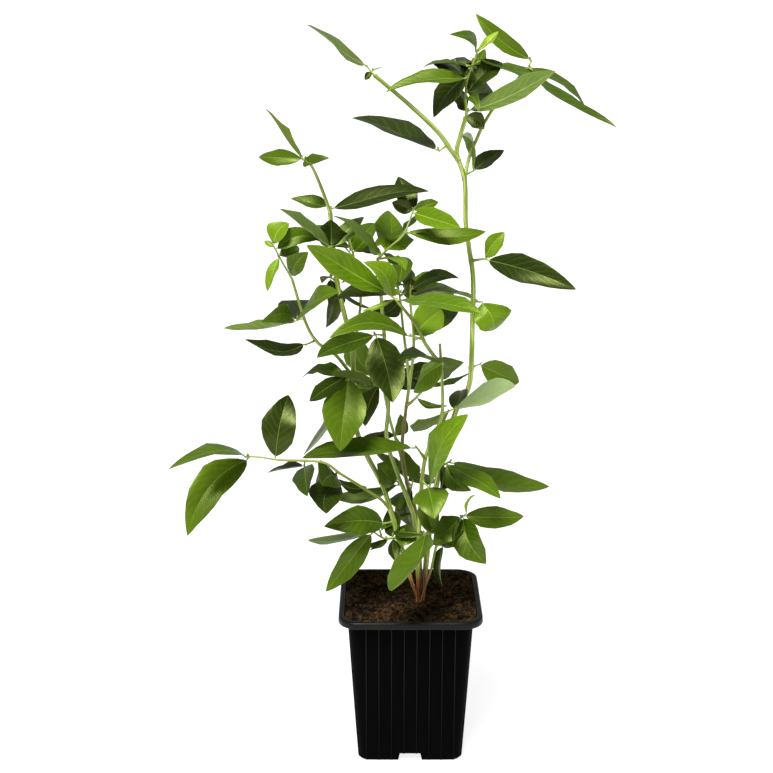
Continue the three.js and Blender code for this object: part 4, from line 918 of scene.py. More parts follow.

# %% Small inner leaves
# Rows like those of the chart, for leaves too small or too crowded for the solid model. They
# come after the twigs, which therefore stand as they do there.
# Most of these are deep, painted shade inside the bush.
INNER = {
    "leaves_foot_left": {"tints": "deep green deep deep", "lead": [(0.1, 103, 45, 20, 14, -46, -0.02, 0.09),
        (0.05, -13, 5, 15, 11, 55, 0.07, 0.02), (0.1, -75, -60, 15, 9, -15, -0.12, 0.04),
        (0.3, -137, -13, 16, 5, -8, -0.11)]},
    "leaves_middle_top": {"tints": "bright", "lead": [(0.05, -54, -6, 28, 11, -4, 0.09, -0.09)]},
    "leaves_left_middle": {"tints": "deep deep", "lead": [(0.9, -109, -72, 31, 18, -68, 0.05, -0.11),
        (0.5, 40, -37, 37, 9, 31, -0.15, 0.11)]},
    "leaves_front_heart": {"tints": "bright", "lead": [(0.3, -177, -20, 21, 4, -35, -0.07)]},
    "leaves_low_left_inner": {"tints": "deep deep", "lead": [(0.3, -111, 1, 22, 20, -46, 0.04, 0.1),
        (0.9, 36, -23, 24, 8, 51, -0.12, 0.12)]},
    "leaves_right_foot": {"tints": "deep", "lead": [(0.2, -102, -47, 18, 12, -51, -0.01, -0.12)]},
    "leaves_top": {"tints": "deep", "lead": [(0.05, -38, -30, 15, 10, 73, -0.1, -0.11)]},
    "leaves_back_low": {"tints": "deep", "lead": [(0.9, -179, -7, 22, 7, -17, 0.04, -0.12)]},
    "leaves_rear_high": {"tints": "deep", "lead": [(0.2, -132, -8, 27, 14, -34, -0.11, -0.13)]},
    "leaves_back_foot": {"tints": "deep green", "lead": [(0.2, -73, -72, 26, 18, 68, 0.09, 0.12),
        (0.1, -111, -21, 21, 17, 27, 0.12, 0.11)]},
    "leaves_low_right_tip": {"tints": "deep", "lead": [(0.3, -104, -21, 28, 24, 55, -0.02, 0.11)]},
    "leaves_low_right_middle": {"tints": "deep", "lead": [(0.5, -138, -91, 28, 13, 27, 0.06, -0.09)]},
}
for name, plan in INNER.items():
    plant(name, plan)
print("with the inner leaves:", len(leaves))

# %% [markdown]
# ## Leaf finishes
#
# The upper side of a leaf is waxy: a clear green that varies a little from place to place,
# with fine pale veins that leave the midrib at a slant and lie a little sunken. The veins
# follow the leaf, so they are worked out from the map that runs along and across the blade.
# The midrib is a strip of the mesh with a lighter finish of its own, and the underside is
# paler, greyer and duller.

# %% Mix the leaf finishes
VEINS = 8                   # side veins along a blade
VEIN_SLANT = 2.3            # how far they run forward, in spacings, by the margin
VEIN_STRAY = 1.1            # how far they wander, in spacings
VEIN_RELIEF = -0.5          # they are sunk, as a share of the grain's height
# The pale margin is painted light shining through a leaf's edge from behind.
BACKLIT_EDGE_FROM = 0.93          # the pale margin begins this far across
BACKLIT_EDGE_SHARE = 0.4          # and takes this much of the veins' colour
OWN_TONE = 0.65             # how much of its green is a leaf's own; soft patches give the rest
DARKER = 0.86               # the patches of an underside
BLADE_MAP = "blade"
LEAF_TONE = "tone"
WAX_TINT = (0.85, 1, 0.3, 1)    # the sheen of a leaf takes on some of its green
# Each tint: its greens in the light and in the shade, its midrib and its underside. The bright
# tint paints light, the deep one shade, and the silver one a grey sheen.
TINTS = {
    "deep": ((44, 60, 10), (19, 30, 4), (92, 116, 38), (88, 106, 42)),
    "green": ((84, 110, 13), (47, 70, 6), (116, 142, 46), (108, 130, 46)),
    "bright": ((110, 142, 17), (74, 105, 8), (150, 176, 60), (136, 160, 52)),
    "fresh": ((132, 158, 36), (104, 132, 24), (190, 208, 100), (172, 196, 80)),
    "pale": ((110, 132, 60), (80, 102, 40), (158, 172, 108), (152, 166, 108)),
    "silver": ((150, 170, 116), (118, 140, 86), (176, 192, 140), (160, 176, 120)),
}


def vein_lines(tree):
    """1 on a vein and 0 between: a saw across the map, slanted by the distance from the
    midrib, folded into a ridge and sharpened. Also how far across the blade a point lies."""
    place = from_map(tree, BLADE_MAP)
    across = sums(tree, "ABSOLUTE", sums(tree, "MULTIPLY_ADD", place["X"], 2.0, -1.0))
    slant = sums(tree, "MULTIPLY", across, -VEIN_SLANT)
    strayed = sums(tree, "MULTIPLY_ADD", noise(tree, 160, 2), VEIN_STRAY, slant)
    saw = sums(tree, "FRACT", sums(tree, "MULTIPLY_ADD", place["Y"], float(VEINS), strayed))
    ridge = sums(tree, "ABSOLUTE", sums(tree, "SUBTRACT", saw, 0.5))
    return spread(tree, ridge, 0.3, 0.5), across


def leaf_finish(name, colour, shade, vein, vein_share, roughness, gloss):
    """A waxy leaf: two close greens in soft patches that also differ from leaf to leaf, veins
    over them, a thin margin made pale by painted light from behind, and a fine grain."""
    material, tree, shader = new_finish(name, Specular_IOR_Level=gloss, Specular_Tint=WAX_TINT)
    patches = spread(tree, noise(tree, 90, 4, 0.6), 0.3, 0.7)
    own = sums(tree, "MULTIPLY", from_points(tree, LEAF_TONE), OWN_TONE)
    light = sums(tree, "MULTIPLY_ADD", patches, 1 - OWN_TONE, own)
    green = blend(tree, light, rgb(*shade), rgb(*colour))
    lines, across = vein_lines(tree)
    # The pale margin, painted light from behind.
    margin = spread(tree, across, BACKLIT_EDGE_FROM, 1.0, 0, BACKLIT_EDGE_SHARE)
    paler = sums(tree, "MAXIMUM", sums(tree, "MULTIPLY", lines, vein_share), margin)
    height = sums(tree, "MULTIPLY_ADD", lines, VEIN_RELIEF, noise(tree, 2500, 2))
    dress(tree, shader, blend(tree, paler, green, rgb(*vein)),
          spread(tree, patches, 0, 1, roughness + 0.08, roughness), height)
    return material


leaf_finishes = {}
for tint, (colour, shade, rib, back) in TINTS.items():
    leaf_finishes[tint] = [
        leaf_finish("leaf_" + tint, colour, shade, rib, 0.16, 0.3, 0.5),
        leaf_finish("midrib_" + tint, rib, back, rib, 0.1, 0.45, 0.4),
        leaf_finish("leaf_back_" + tint, back, [DARKER * c for c in back], rib, 0.35, 0.62, 0.2)]
print("leaf finishes:", ", ".join(leaf_finishes))

# %% Shape every leaf, one piece for each tint
LEAF_SEED = 11
RIB_ON_MAP = 0.04           # half the midrib's share of the map's width
ACROSS = np.array([-1, -MIDDLE, -RIB_ON_MAP, RIB_ON_MAP, MIDDLE, 1, RIB_ON_MAP, -RIB_ON_MAP])

feet, sheets, tint_of = (np.array(column) for column in zip(*leaves))
rng = np.random.default_rng(LEAF_SEED)
least, span = np.array(list(HABITS.values()), float).T
habits = least + span * rng.random((len(leaves), len(HABITS)))
rings, poles = blades(feet, sheets, habits)
masses_with = {tint: [n for n, p in MASSES.items() if tint in p["tints"]] for tint in TINTS}


def strip_finish(skin):
    """Each strip along a blade has its own finish."""
    return STRIPS[skin["quad_place"]], STRIPS[skin["fan_place"]]


for tint in TINTS:
    chosen = tint_of == tint
    skin = close_rings(rings[chosen], poles[chosen])
    count = chosen.sum()
    shape = (count, STATIONS, len(ACROSS))
    map_x = at_points(np.broadcast_to(0.5 + ACROSS / 2, shape), np.full((count, 2), 0.5))
    map_y = at_points(np.broadcast_to(ALONG[:, None], shape), np.tile([0.0, 1.0], (count, 1)))
    tones = np.repeat(rng.random(count), len(skin["points"]) // count)
    make_piece("leaves_" + tint, [skin], leaf_finishes[tint], masses_with[tint],
               strip_finish, {BLADE_MAP: np.stack([map_x, map_y], axis=1), LEAF_TONE: tones})

# %% [markdown]
# ## Stalks
#
# Each blade hangs on a short stalk that runs on as the midrib. A stalk is a slim tube that
# starts inside the shoot, so that no gap shows, and dips a little before it meets the blade.

# %% Put a stalk under every blade
STALK_RADII = (0.62, 0.42)  # at the shoot and at the blade
STALK_PLACES = 6
STALK_SHARES = np.array([0.0, 0.3, 0.65, 1.0, 1.3])     # its rings: past 1 it is in the midrib
STALK_SAG = 0.05            # of its length
FULL_LEAF = 45              # only a leaf as long as this has the whole thickness
LEAST_STALK = 0.35          # and none has a smaller share of it
INTO_RIB = 0.35             # where it ends, from the blade's first ring to its second
RIB_CORNERS = [2, 3, 6, 7]  # of a blade's ring


def round_rings(centres, ways, radii, places, guide):
    """Rings of points round many middle lines at once, steered by a guide direction. The radii
    are one to a ring, or one to each place of a ring."""
    right = unit(np.cross(ways, guide))
    over = np.cross(ways, right)
    turn = angles_round(places)
    spokes = right[..., None, :] * np.cos(turn)[:, None] + over[..., None, :] * np.sin(turn)[:, None]
    if radii.ndim < centres.ndim:
        radii = radii[..., None]
    return centres[..., None, :] + spokes * radii[..., None]


along, side, face = leaf_axes(sheets)
reach = STALK_SHARE * sheets[:, 3][:, None]
sag = STALK_SAG * reach * np.sin(np.pi * np.minimum(STALK_SHARES, 1))
centres = (feet[:, None] + along[:, None] * (reach * STALK_SHARES)[..., None]
           - face[:, None] * sag[..., None])
first, second = (rings[:, station, RIB_CORNERS].mean(axis=1) for station in (0, 1))
centres[:, -1] = INTO_RIB * second + (1 - INTO_RIB) * first
thick, thin = STALK_RADII
scale = np.clip(sheets[:, 3] / FULL_LEAF, LEAST_STALK, 1)[:, None]
radii = scale * np.array([thick * 1.3, thick, 0.9 * thick, thin, 0.5 * thin])
stalk_rings = round_rings(centres, np.broadcast_to(along[:, None], centres.shape), radii,
                          STALK_PLACES, side[:, None])
stalk_green = two_tone("stalk_green", 0.4, 220, (0.35, 0.7), (128, 160, 62), (164, 186, 92),
                       (0.42, 0.6), 1500, detail=4)
make_piece("leaf_stalks", [close_rings(stalk_rings)], [stalk_green], list(MASSES))

# %% [markdown]
# ## Bark
#
# A young blueberry stem is not quite round. Three low ridges run down it, and it swells at
# every node where something grows out. Near the soil it is red-brown and flaking; higher up it
# is yellow-green with fine pale lines. The pale streaks on both are partly the bark's own lines
# and partly painted highlights. The relief is in the mesh. A number at each point says how woody
# the bark is there, and a map says where round the limb it lies, so that the pale lines can
# follow every bend: they are noise over that circle, drawn out along the height.

# %% Stems, boughs and shoots with their relief
BARK_STEP = 1.1             # millimetres between rings
BARK_PLACES = {"limb": 14, "shoot": 8, "twig": 7}       # points round a ring
RIDGES = 3
RIDGE_SHARE = 0.07          # of the radius
RIDGE_TWIST = 0.01          # radians from ring to ring
FLAKES = (0.02, 0.07)       # of the radius: on young bark, and what the woodiest adds
NODE_SWELL = 0.16
NODE_LENGTH = 1.3
NODE_WOOD = 0.3             # how woody a node is
COLLAR_SWELL = 0.3          # a limb widens where it leaves its carrier
COLLAR_LENGTH = 2.2
TIP_POLE = 0.3              # an end is domed by this share of its radius
WOODY_TOP = 119             # the stems are woody up to about here
WOODY_FADE = 13
NOT_RUSTY = (0, 0)
# Limbs that are partly woody higher up: to which height, and how much.
RUSTY = {"stem_back": (228, 0.56), "stem_middle": (150, 0.42), "bough_low_left": (240, 0.36)}
FOOT_GIRTH = (0.7, 0.3)     # a stem's share of its radius at the ground, and what it gains
FOOT_TAPER = 35             # this far up it
ROOT_DEPTH = 3              # a stem goes on into the compost
STALK_LIKE = 9              # a shoot shorter than this is nearly as slim as a leaf's stalk
SLIMNESS = {"short": 0.62, "long": 0.85}                # how much of its radius a shoot shows
nodes_on = {name: [p["on"][1] for p in [*LIMBS.values(), *MASSES.values()] if p["on"][0] == name]
            for name in LIMBS}


def ease(value, low, high):
    """0 below low, 1 above high, and a smooth run between."""
    t = np.clip((value - low) / (high - low), 0, 1)
    return t * t * (3 - 2 * t)


def bark_skin(limb, root, node_shares, places, rng, rusty=NOT_RUSTY, slimness=1.0, from_ground=False):
    """A limb's skin: radius x (1 + ridges + nodes + collar + flakes), run back to its root
    inside the carrier. Returns the skin, how woody each point is, and where round the limb
    it lies, as the cosine and sine of its angle."""
    steps = max(4, int(limb.length / BARK_STEP))
    share = np.linspace(0, 1, steps + 1)
    centres, ways = limb.at(share), limb.way(share)
    span = share * limb.length
    girth = FOOT_GIRTH[0] + FOOT_GIRTH[1] * ease(span, 0, FOOT_TAPER)
    radii = limb.radius(share) * slimness * np.where(from_ground, girth, 1)
    near_node = np.zeros_like(share)
    for node in node_shares:
        near_node = np.maximum(near_node, np.exp(-(((share - node) * limb.length / NODE_LENGTH) ** 2)))
    radii = radii * (1 + NODE_SWELL * near_node + COLLAR_SWELL * np.exp(-span / COLLAR_LENGTH))
    if root is not None:
        centres = np.vstack([root, centres])
        ways = np.vstack([ways[:1], ways])
        radii = np.concatenate([radii[:1], radii])
        near_node = np.concatenate([near_node[:1], near_node])
    height = centres[:, 2]
    wood = 1 - ease(height, WOODY_TOP - WOODY_FADE, WOODY_TOP + WOODY_FADE)
    wood = np.maximum(wood, rusty[1] * (1 - ease(height, rusty[0] - WOODY_FADE, rusty[0] + WOODY_FADE)))
    wood = np.maximum(wood, NODE_WOOD * near_node)
    guide = np.eye(3)[np.argmin(np.abs(limb.line[-1] - limb.line[0]))]
    turn = angles_round(places)
    lean = rng.uniform(0, 2 * np.pi)
    twist = RIDGE_TWIST * np.arange(len(radii))[:, None]
    ridges = RIDGE_SHARE * np.cos(RIDGES * turn[None] + lean + twist)
    flakes = (FLAKES[0] + FLAKES[1] * wood[:, None] ** 2) * rng.standard_normal((len(radii), places))
    rings = round_rings(centres, ways, radii[:, None] * (1 + ridges + flakes), places, guide)
    poles = np.stack([centres[0], centres[-1] + ways[-1] * radii[-1] * TIP_POLE])[None]
    woods = at_points(np.repeat(wood[None, :, None], places, axis=2), wood[None, [0, -1]])
    shape = (1, len(radii), places)
    angles = [at_points(np.broadcast_to(wave(turn), shape), np.zeros((1, 2))) for wave in (np.cos, np.sin)]
    return close_rings(rings[None], poles), woods, np.stack(angles, axis=1)


def dress_limbs(name, parts, stands_for):
    """One piece of bark from the results of bark_skin."""
    skins, woods, angles = zip(*parts)
    facts = {"wood": np.concatenate(woods), "round": np.concatenate(angles)}
    make_piece(name, skins, [bark], stands_for, facts=facts)


bark, tree, shader = new_finish("bark", Specular_IOR_Level=0.4)
woodiness = from_points(tree, "wood")
angle = from_map(tree, "round")
down_the_limb = add(tree, "CombineXYZ", {
    "X": angle["X"], "Y": angle["Y"],
    "Z": sums(tree, "MULTIPLY", height_above_ground(tree), 22.0)}).outputs["Vector"]
streaks = noise(tree, 1.9, 3, 0.6, where=down_the_limb)
fibres = noise(tree, 420, 4, 0.65, (1, 1, 0.3))
# Pale streaks on the young and the old bark: the bark's own lines and painted highlights.
rind_and_highlights = blend(tree, spread(tree, streaks, 0.45, 0.66), rgb(114, 136, 32), rgb(200, 216, 124))
young = blend(tree, spread(tree, fibres, 0.55, 0.8, 0, 0.3), rind_and_highlights, rgb(150, 140, 60))
rust = blend(tree, spread(tree, fibres, 0.4, 0.62), rgb(46, 17, 11), rgb(128, 60, 32))
old = blend(tree, spread(tree, streaks, 0.5, 0.66), rust, rgb(186, 152, 88))
edge = sums(tree, "ADD", spread(tree, streaks, 0.3, 0.7, -0.25, 0.25), woodiness)
dress(tree, shader, blend(tree, spread(tree, edge, 0.25, 0.75), young, old),
      spread(tree, streaks, 0, 1, 0.38, 0.6), sums(tree, "ADD", streaks, fibres), 0.5, 0.0003)

rng = np.random.default_rng(SEED)
grown = []
for name, limb in limbs.items():
    carrier, place = LIMBS[name]["on"]
    rooted = carrier == "ground"
    root = limb.at(0) - np.array([0, 0, ROOT_DEPTH]) if rooted else limbs[carrier].at(place)
    grown.append(bark_skin(limb, root, nodes_on[name], BARK_PLACES["limb"], rng,
                           RUSTY.get(name, NOT_RUSTY), from_ground=rooted))
dress_limbs("stems", grown, list(LIMBS))

grown = []
for name, limb in shoots.items():
    carrier, place = MASSES[name]["on"]
    slimness = SLIMNESS["short" if limb.length < STALK_LIKE else "long"]
    root = limbs[carrier].at(place)
    grown.append(bark_skin(limb, root, [], BARK_PLACES["shoot"], rng, slimness=slimness))
for limb in twigs:
    grown.append(bark_skin(limb, None, [], BARK_PLACES["twig"], rng))
dress_limbs("shoots", grown, list(MASSES))

# %% [markdown]
# ## Buds
#
# In the angle over many a leaf sits a small pointed bud, and one more ends each longer shoot.
# They are tiny, but without them the stems look like wire.

# %% Buds in the leaf angles and at the tips
BUD_LENGTH = (1.2, 1.1)     # the least, and what chance may add
BUD_RADIUS = 0.32           # of its length
BUD_PLACES = 6
BUD_EVERY = 2               # leaves to a bud
BUD_OFF = 0.9               # from the leaf's foot, along the leaf
BUD_UP = 0.5                # and above it
BUD_LEAN = 0.6              # how much it follows the leaf, against one part straight up
BUD_GUIDE = np.array([0.3, 0.9, 0.2])       # any way that no bud points
# Shares of a bud's length, and of its greatest radius there.
BUD_SHAPE = np.array([[0.0, 0.5], [0.25, 0.9], [0.5, 1.0], [0.75, 0.7], [0.93, 0.25]])

rng = np.random.default_rng(SEED + 2)
ended = [limb for limb in [*shoots.values(), *twigs] if limb.length > STALK_LIKE]
tips = np.array([limb.at(1.0) for limb in ended])
tip_ways = np.array([limb.way(1.0) for limb in ended])
budded = along[::BUD_EVERY]
bud_feet = np.vstack([feet[::BUD_EVERY] + budded * BUD_OFF + np.array([0, 0, BUD_UP]), tips])
bud_ways = unit(np.vstack([budded * BUD_LEAN + np.array([0, 0, 1.0]), tip_ways]))
bud_long = BUD_LENGTH[0] + BUD_LENGTH[1] * rng.random(len(bud_feet))
bud_centres = bud_feet[:, None] + bud_ways[:, None] * (bud_long[:, None] * BUD_SHAPE[:, 0])[..., None]
bud_radii = BUD_RADIUS * bud_long[:, None] * BUD_SHAPE[:, 1]
bud_rings = round_rings(bud_centres, np.broadcast_to(bud_ways[:, None], bud_centres.shape), bud_radii,
                        BUD_PLACES, unit(np.cross(bud_ways, BUD_GUIDE))[:, None])
bud_poles = np.stack([bud_feet, bud_feet + bud_ways * bud_long[:, None]], axis=1)
bud_scale = two_tone("bud_scale", 0.4, 900, (0.35, 0.65), (118, 142, 54), (150, 124, 74), (0.4, 0.6), 900)
make_piece("buds", [close_rings(bud_rings, bud_poles)], [bud_scale])

# %% [markdown]
# ## The pot
#
# A nursery pot is blown from a thin black sheet: four tapering ribbed walls with round
# corners, a rolled rim, and a notch in the middle of each foot to let water out. Its whole
# skin is one profile carried round a rounded square. The profile starts under the middle of
# the base, turns up the wall, folds back under the rim, goes over the lip and down inside.
# The ribs are waves on the rings, and the notches lift the skin where it meets the ground.

# %% The rounded square with its ribs
_, pot_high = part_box("pot")
POT_HEIGHT = pot_high.z / MM
RIM_HALF = pot_high.x / MM
RIM_CORNER = 13
RIM_FOOT = 95.4             # the rim's lip turns down to here
COLLAR_HALF = 41.2          # inside the rim
SHELF = 96.6                # the collar stands on a narrow shelf at this height
BODY_TOP_HALF = 38.75
BODY_BASE_HALF = 32.5
BODY_CORNER = 9
FOOT_CORNER = 6.5           # the corners are sharper at the foot
WALL = 1.2
RIBS = 8                    # on each side
RIB_PITCH = 7.9
RIB_HEIGHT = 0.6
RIB_SHAPE = np.array([-0.75, -0.5, -0.24, 0.24, 0.5, 0.75])     # across a rib
RIB_RISE = np.array([0.0, 0.5, 1.0, 1.0, 0.5, 0.0])             # and its share of the height
NOTCH_HALF = 7.0
NOTCH_HEIGHT = 4.6
NOTCH_DEPTH = 15
NOTCH_EDGE = 0.5            # its sides lean this far each way
NOTCH_BLEND = 9             # the wall's rings are squeezed up over the notch to this height
NOTCH_CORE = 8              # up to here from a side's middle no point is ever drawn aside
CORNER_POINTS = 10
CORNER_SHARE = 0.6          # a side's last rib may run into the corner this far
LEAST_FLAT = 0.01
QUARTER_TURNS = [(1, 0), (0, 1), (-1, 0), (0, -1)]              # as cosine and sine

rib_middles = (np.arange(RIBS) - (RIBS - 1) / 2) * RIB_PITCH
notch_sides = np.array([s * (NOTCH_HALF + e) for s in (-1, 1) for e in (-NOTCH_EDGE, NOTCH_EDGE)])
side_along = np.sort(np.concatenate([(rib_middles[:, None] + RIB_SHAPE).ravel(), notch_sides]))
on_rib = np.abs(side_along[:, None] - rib_middles).min(axis=1)
side_rise = np.interp(on_rib, RIB_SHAPE[3:], RIB_RISE[3:])


def square_ring(half, corner, height, ribs=0.0):
    """One ring: a side with its ribs and a rounded corner, turned to all four sides. Where a
    side is short its outer points run on round the corner, and then draw together."""
    flat = max(half - corner, LEAST_FLAT)
    reach = min(flat + CORNER_SHARE * corner, side_along[-1])
    core = min(NOTCH_CORE, reach / 2)
    along = np.interp(side_along, [side_along[0], -NOTCH_CORE, NOTCH_CORE, side_along[-1]],
                      [-reach, -core, core, reach])
    into = np.maximum(np.abs(along) - flat, 0)
    start = math.asin(into[-1] / corner)
    arc = np.linspace(start, math.pi / 2 - start, CORNER_POINTS + 2)[1:-1]
    out = flat + np.sqrt(corner ** 2 - into ** 2) + ribs * RIB_HEIGHT * side_rise
    along = np.concatenate([along, flat + corner * np.sin(arc)])
    out = np.concatenate([out, flat + corner * np.cos(arc)])
    xy = np.vstack([np.stack([out * c - along * s, out * s + along * c], axis=1) for c, s in QUARTER_TURNS])
    return np.column_stack([xy, np.full(len(xy), float(height))])


def body_half(z):
    """Half the width of the tapering wall at a height."""
    return BODY_BASE_HALF + (BODY_TOP_HALF - BODY_BASE_HALF) * z / SHELF


def body_corner(z):
    """The wall's corner radius at a height."""
    return FOOT_CORNER + (BODY_CORNER - FOOT_CORNER) * z / SHELF


print("pot: %.0f wide, %.0f tall" % (2 * RIM_HALF, POT_HEIGHT))

# %% The pot's profile, and the notches in its foot
FOOT_ROUND = 1.4            # the radius between the base and the wall
LIP_MIDDLE = 0.75           # the lip's turned edge: how far inside the rim its middle lies,
LIP_EDGE = (0.6, 0.5)       # and its two half sizes, across and upright
RIM_DRAW = 0.1              # the rim leans in by this much
ROLL_OUT = (0.4, 1.3)       # the rolled top outside: a share of the rim's width, and a height
ROLL_IN = (0.5, 1.1)        # and inside
BASE_INSETS = [31.5, 26, 20, NOTCH_DEPTH + NOTCH_EDGE, NOTCH_DEPTH, NOTCH_DEPTH - NOTCH_EDGE, 9, 4, 1.6]
BASE_FLAT = 0.4             # a base ring's corner radius is less than its half width, by at least this
WALL_HEIGHTS = [2.2, 3.2, 4.4, 6, 9, 14, 24, 36, 48, 60, 72, 82, 90]
RIB_ENDS = [(93, 1), (95, 0.8), (96.4, 0)]              # heights, and how far the ribs stand out
UNDER_RIM = [(2.4, 97.2), (1.5, 96.9)]                  # inside the rim, and heights
INSIDE_HEIGHTS = [SHELF, 94, 84, 60, 30, 8]


def foot_lift(points):
    """How high the notches lift the underside: their height, eased over a narrow edge."""
    reach = np.maximum(np.abs(points[:, 0]), np.abs(points[:, 1]))
    aside = np.minimum(np.abs(points[:, 0]), np.abs(points[:, 1]))
    end = BODY_BASE_HALF - NOTCH_DEPTH
    beside = 1 - ease(aside, NOTCH_HALF - NOTCH_EDGE, NOTCH_HALF + NOTCH_EDGE)
    return NOTCH_HEIGHT * beside * ease(reach, end - NOTCH_EDGE, end + NOTCH_EDGE)


# A profile is a list of half width, corner radius, height, and how much of the ribs stands out.
base = [(BODY_BASE_HALF - i, min(FOOT_CORNER, BODY_BASE_HALF - i - BASE_FLAT), 0, 0) for i in BASE_INSETS]
foot = [(BODY_BASE_HALF - FOOT_ROUND + FOOT_ROUND * math.sin(a), FOOT_CORNER,
         FOOT_ROUND * (1 - math.cos(a)), math.sin(a) ** 2) for a in np.linspace(0.15, 1, 5) * math.pi / 2]
ribbed = [(z, 1) for z in WALL_HEIGHTS] + RIB_ENDS
wall = [(body_half(z), body_corner(z), z, ribs) for z, ribs in ribbed]
under_rim = [(RIM_HALF - i, RIM_CORNER - i, z, 0) for i, z in UNDER_RIM]
lip = [(RIM_HALF - LIP_MIDDLE - LIP_EDGE[0] * math.cos(a), RIM_CORNER,
        RIM_FOOT + LIP_EDGE[1] - LIP_EDGE[1] * math.sin(a), 0) for a in np.linspace(0, 1, 6) * math.pi]
lip += [(RIM_HALF, RIM_CORNER, RIM_FOOT + 1.2, 0), (RIM_HALF - RIM_DRAW, RIM_CORNER, RIM_FOOT + 2.4, 0)]
roll = np.linspace(0.1, 1, 7) * math.pi / 2
rim_width = RIM_HALF - COLLAR_HALF
lip += [(RIM_HALF - RIM_DRAW - ROLL_OUT[0] * rim_width * (1 - math.cos(a)), RIM_CORNER,
         POT_HEIGHT - ROLL_OUT[1] + ROLL_OUT[1] * math.sin(a), 0) for a in roll]
lip += [(COLLAR_HALF + ROLL_IN[0] * rim_width * (1 - math.sin(a)), RIM_CORNER - 1,
         POT_HEIGHT - ROLL_IN[1] + ROLL_IN[1] * math.cos(a), 0) for a in roll]
inside = [(COLLAR_HALF, RIM_CORNER - 2, z, 0) for z in (98, SHELF + 0.2)]
inside += [(body_half(z) - WALL, BODY_CORNER - WALL, z, 0) for z in INSIDE_HEIGHTS]
inside += [(20, 8, 7, 0), (8, 6, 7, 0)]
outer = [*base, *foot, *wall]
profile = [*outer, *under_rim, *lip, *inside]
pot_rings = np.array([square_ring(*level) for level in profile])
climb = foot_lift(pot_rings.reshape(-1, 3)).reshape(pot_rings.shape[:2])
climb[len(outer):] = 0
pot_rings[..., 2] += climb * np.maximum(1 - pot_rings[..., 2] / NOTCH_BLEND, 0)
print("pot profile: %d rings of %d points" % pot_rings.shape[:2])

# %% [markdown]
# Black plastic is never quite black: the light rakes over a faint grain from the mould, and soft
# scuffs and specks of compost dust lie all over it. The ribs' crests carry a painted highlight
# that grows towards the top of the wall, and the rim is lighter and dustier, with light from
# above painted into its colour.

# %% Black plastic
SCUFF_DUST = 0.35           # how much of the dust's colour a scuff takes
SPECK_DUST = 0.5            # and a speck
DULLED = 0.15               # how much rougher a scuff is
FULL_RISE = 0.99            # a crest lies between points that stand out at least this much
CREST_RINGS = (3, 2)        # below and above, this many of the wall's rings don't take the painted highlight


def black_plastic(name, colour, dusty, roughness, gloss, crest_highlight=None):
    """Black with a fine moulding grain, soft scuffs and a bloom of dust. Where a crest highlight
    is given, the colour goes over to it towards the top of the wall: a painted highlight."""
    material, tree, shader = new_finish(name, Specular_IOR_Level=gloss)
    scuffs = spread(tree, noise(tree, 60, 6, 0.7, (1, 1, 0.35)), 0.45, 0.75)
    specks = spread(tree, noise(tree, 900, 2), 0.62, 0.75)
    dust = sums(tree, "MAXIMUM", sums(tree, "MULTIPLY", scuffs, SCUFF_DUST),
                sums(tree, "MULTIPLY", specks, SPECK_DUST))
    face = blend(tree, dust, rgb(*colour), rgb(*dusty))
    if crest_highlight is not None:
        share = spread(tree, height_above_ground(tree), 0.0, POT_HEIGHT * MM)
        face = blend(tree, share, face, rgb(*crest_highlight))
    dress(tree, shader, face, spread(tree, scuffs, 0, 1, roughness, roughness + DULLED),
          noise(tree, 3200, 2), 0.25, 0.0001)
    return material


def plastic_finish(skin):
    """The rim's rings take the second plastic, with painted light, and the ribs' crests the
    third, with a painted highlight.
    """
    station = np.arange(len(skin["quads"])) // pot_rings.shape[1]
    crests = (side_rise[:-1] > FULL_RISE) & (side_rise[1:] > FULL_RISE)
    one_side = np.append(crests, np.zeros(CORNER_POINTS + 1, bool))
    crest = np.tile(one_side, len(QUARTER_TURNS))[skin["quad_place"]]
    on_wall = (station >= len(base) + CREST_RINGS[0]) & (station < len(outer) - CREST_RINGS[1])
    on_rim = (station > len(outer)) & (station <= len(profile) - len(inside))
    return np.where(on_rim, 1, np.where(crest & on_wall, 2, 0)), np.zeros(len(skin["fans"]), int)


plastic = [black_plastic("black_plastic", (4, 4, 4), (11, 11, 10), 0.6, 0.015),
           # The rim's lighter grey-olive is painted light from above, as well as dust.
           black_plastic("rim_lit_plastic", (15, 15, 12), (42, 40, 31), 0.3, 0.14),
           # The third paints a highlight along the ribs' crests, growing towards the top of the wall.
           black_plastic("rib_highlight_plastic", (3, 3, 3), (10, 10, 10), 0.5, 0.04, (36, 36, 36))]
make_piece("nursery_pot", [close_rings(pot_rings[None])], plastic, ["pot"], plastic_finish,
           crease=45)

# %% [markdown]
# ## Compost
#
# Peat compost is a dark brown felt of crumbs and fibres. Its top is a height over each point
# of the plane, the sum of a few layers of value noise: broad swells, clods and crumbs. It lies
# level under the stems' feet and is banked a little against the wall. The same bumps go to the
# finish as a number, which paints shade into the hollows, nearly black, while the crumbs stand
# out brown.

# %% The compost's rough top
LATTICE = 64                # random heights on a side
SOIL_LAYERS = [(16, 0.5), (6, 0.6), (2.6, 0.85), (1.2, 0.5)]    # cell and height of each layer
SOIL_SEED = 5
SOIL_HALF = COLLAR_HALF - 0.2
CALM = (0.35, 0.65)         # how much of the bumps is left at the crown, and what comes back
CALM_REACH = (6, 18)        # between these distances from it
BANK = 0.7                  # how far the compost climbs the wall
BANK_WIDTH = 9
SOIL_PLACES = 240
SOIL_SHARES = np.linspace(0.012, 1, 84)     # of the way out, one for each ring of the top
SQUARENESS = 8              # the power p of the rounded square |x|^p + |y|^p = 1
# Below its top the compost steps in with the shelf and goes down along the wall: shares of the
# way out, and heights above the shelf.
SOIL_SIDE = [(1, 0.4), (0.905, -0.2), (0.9, -6), (0.89, -14), (0.05, -14)]
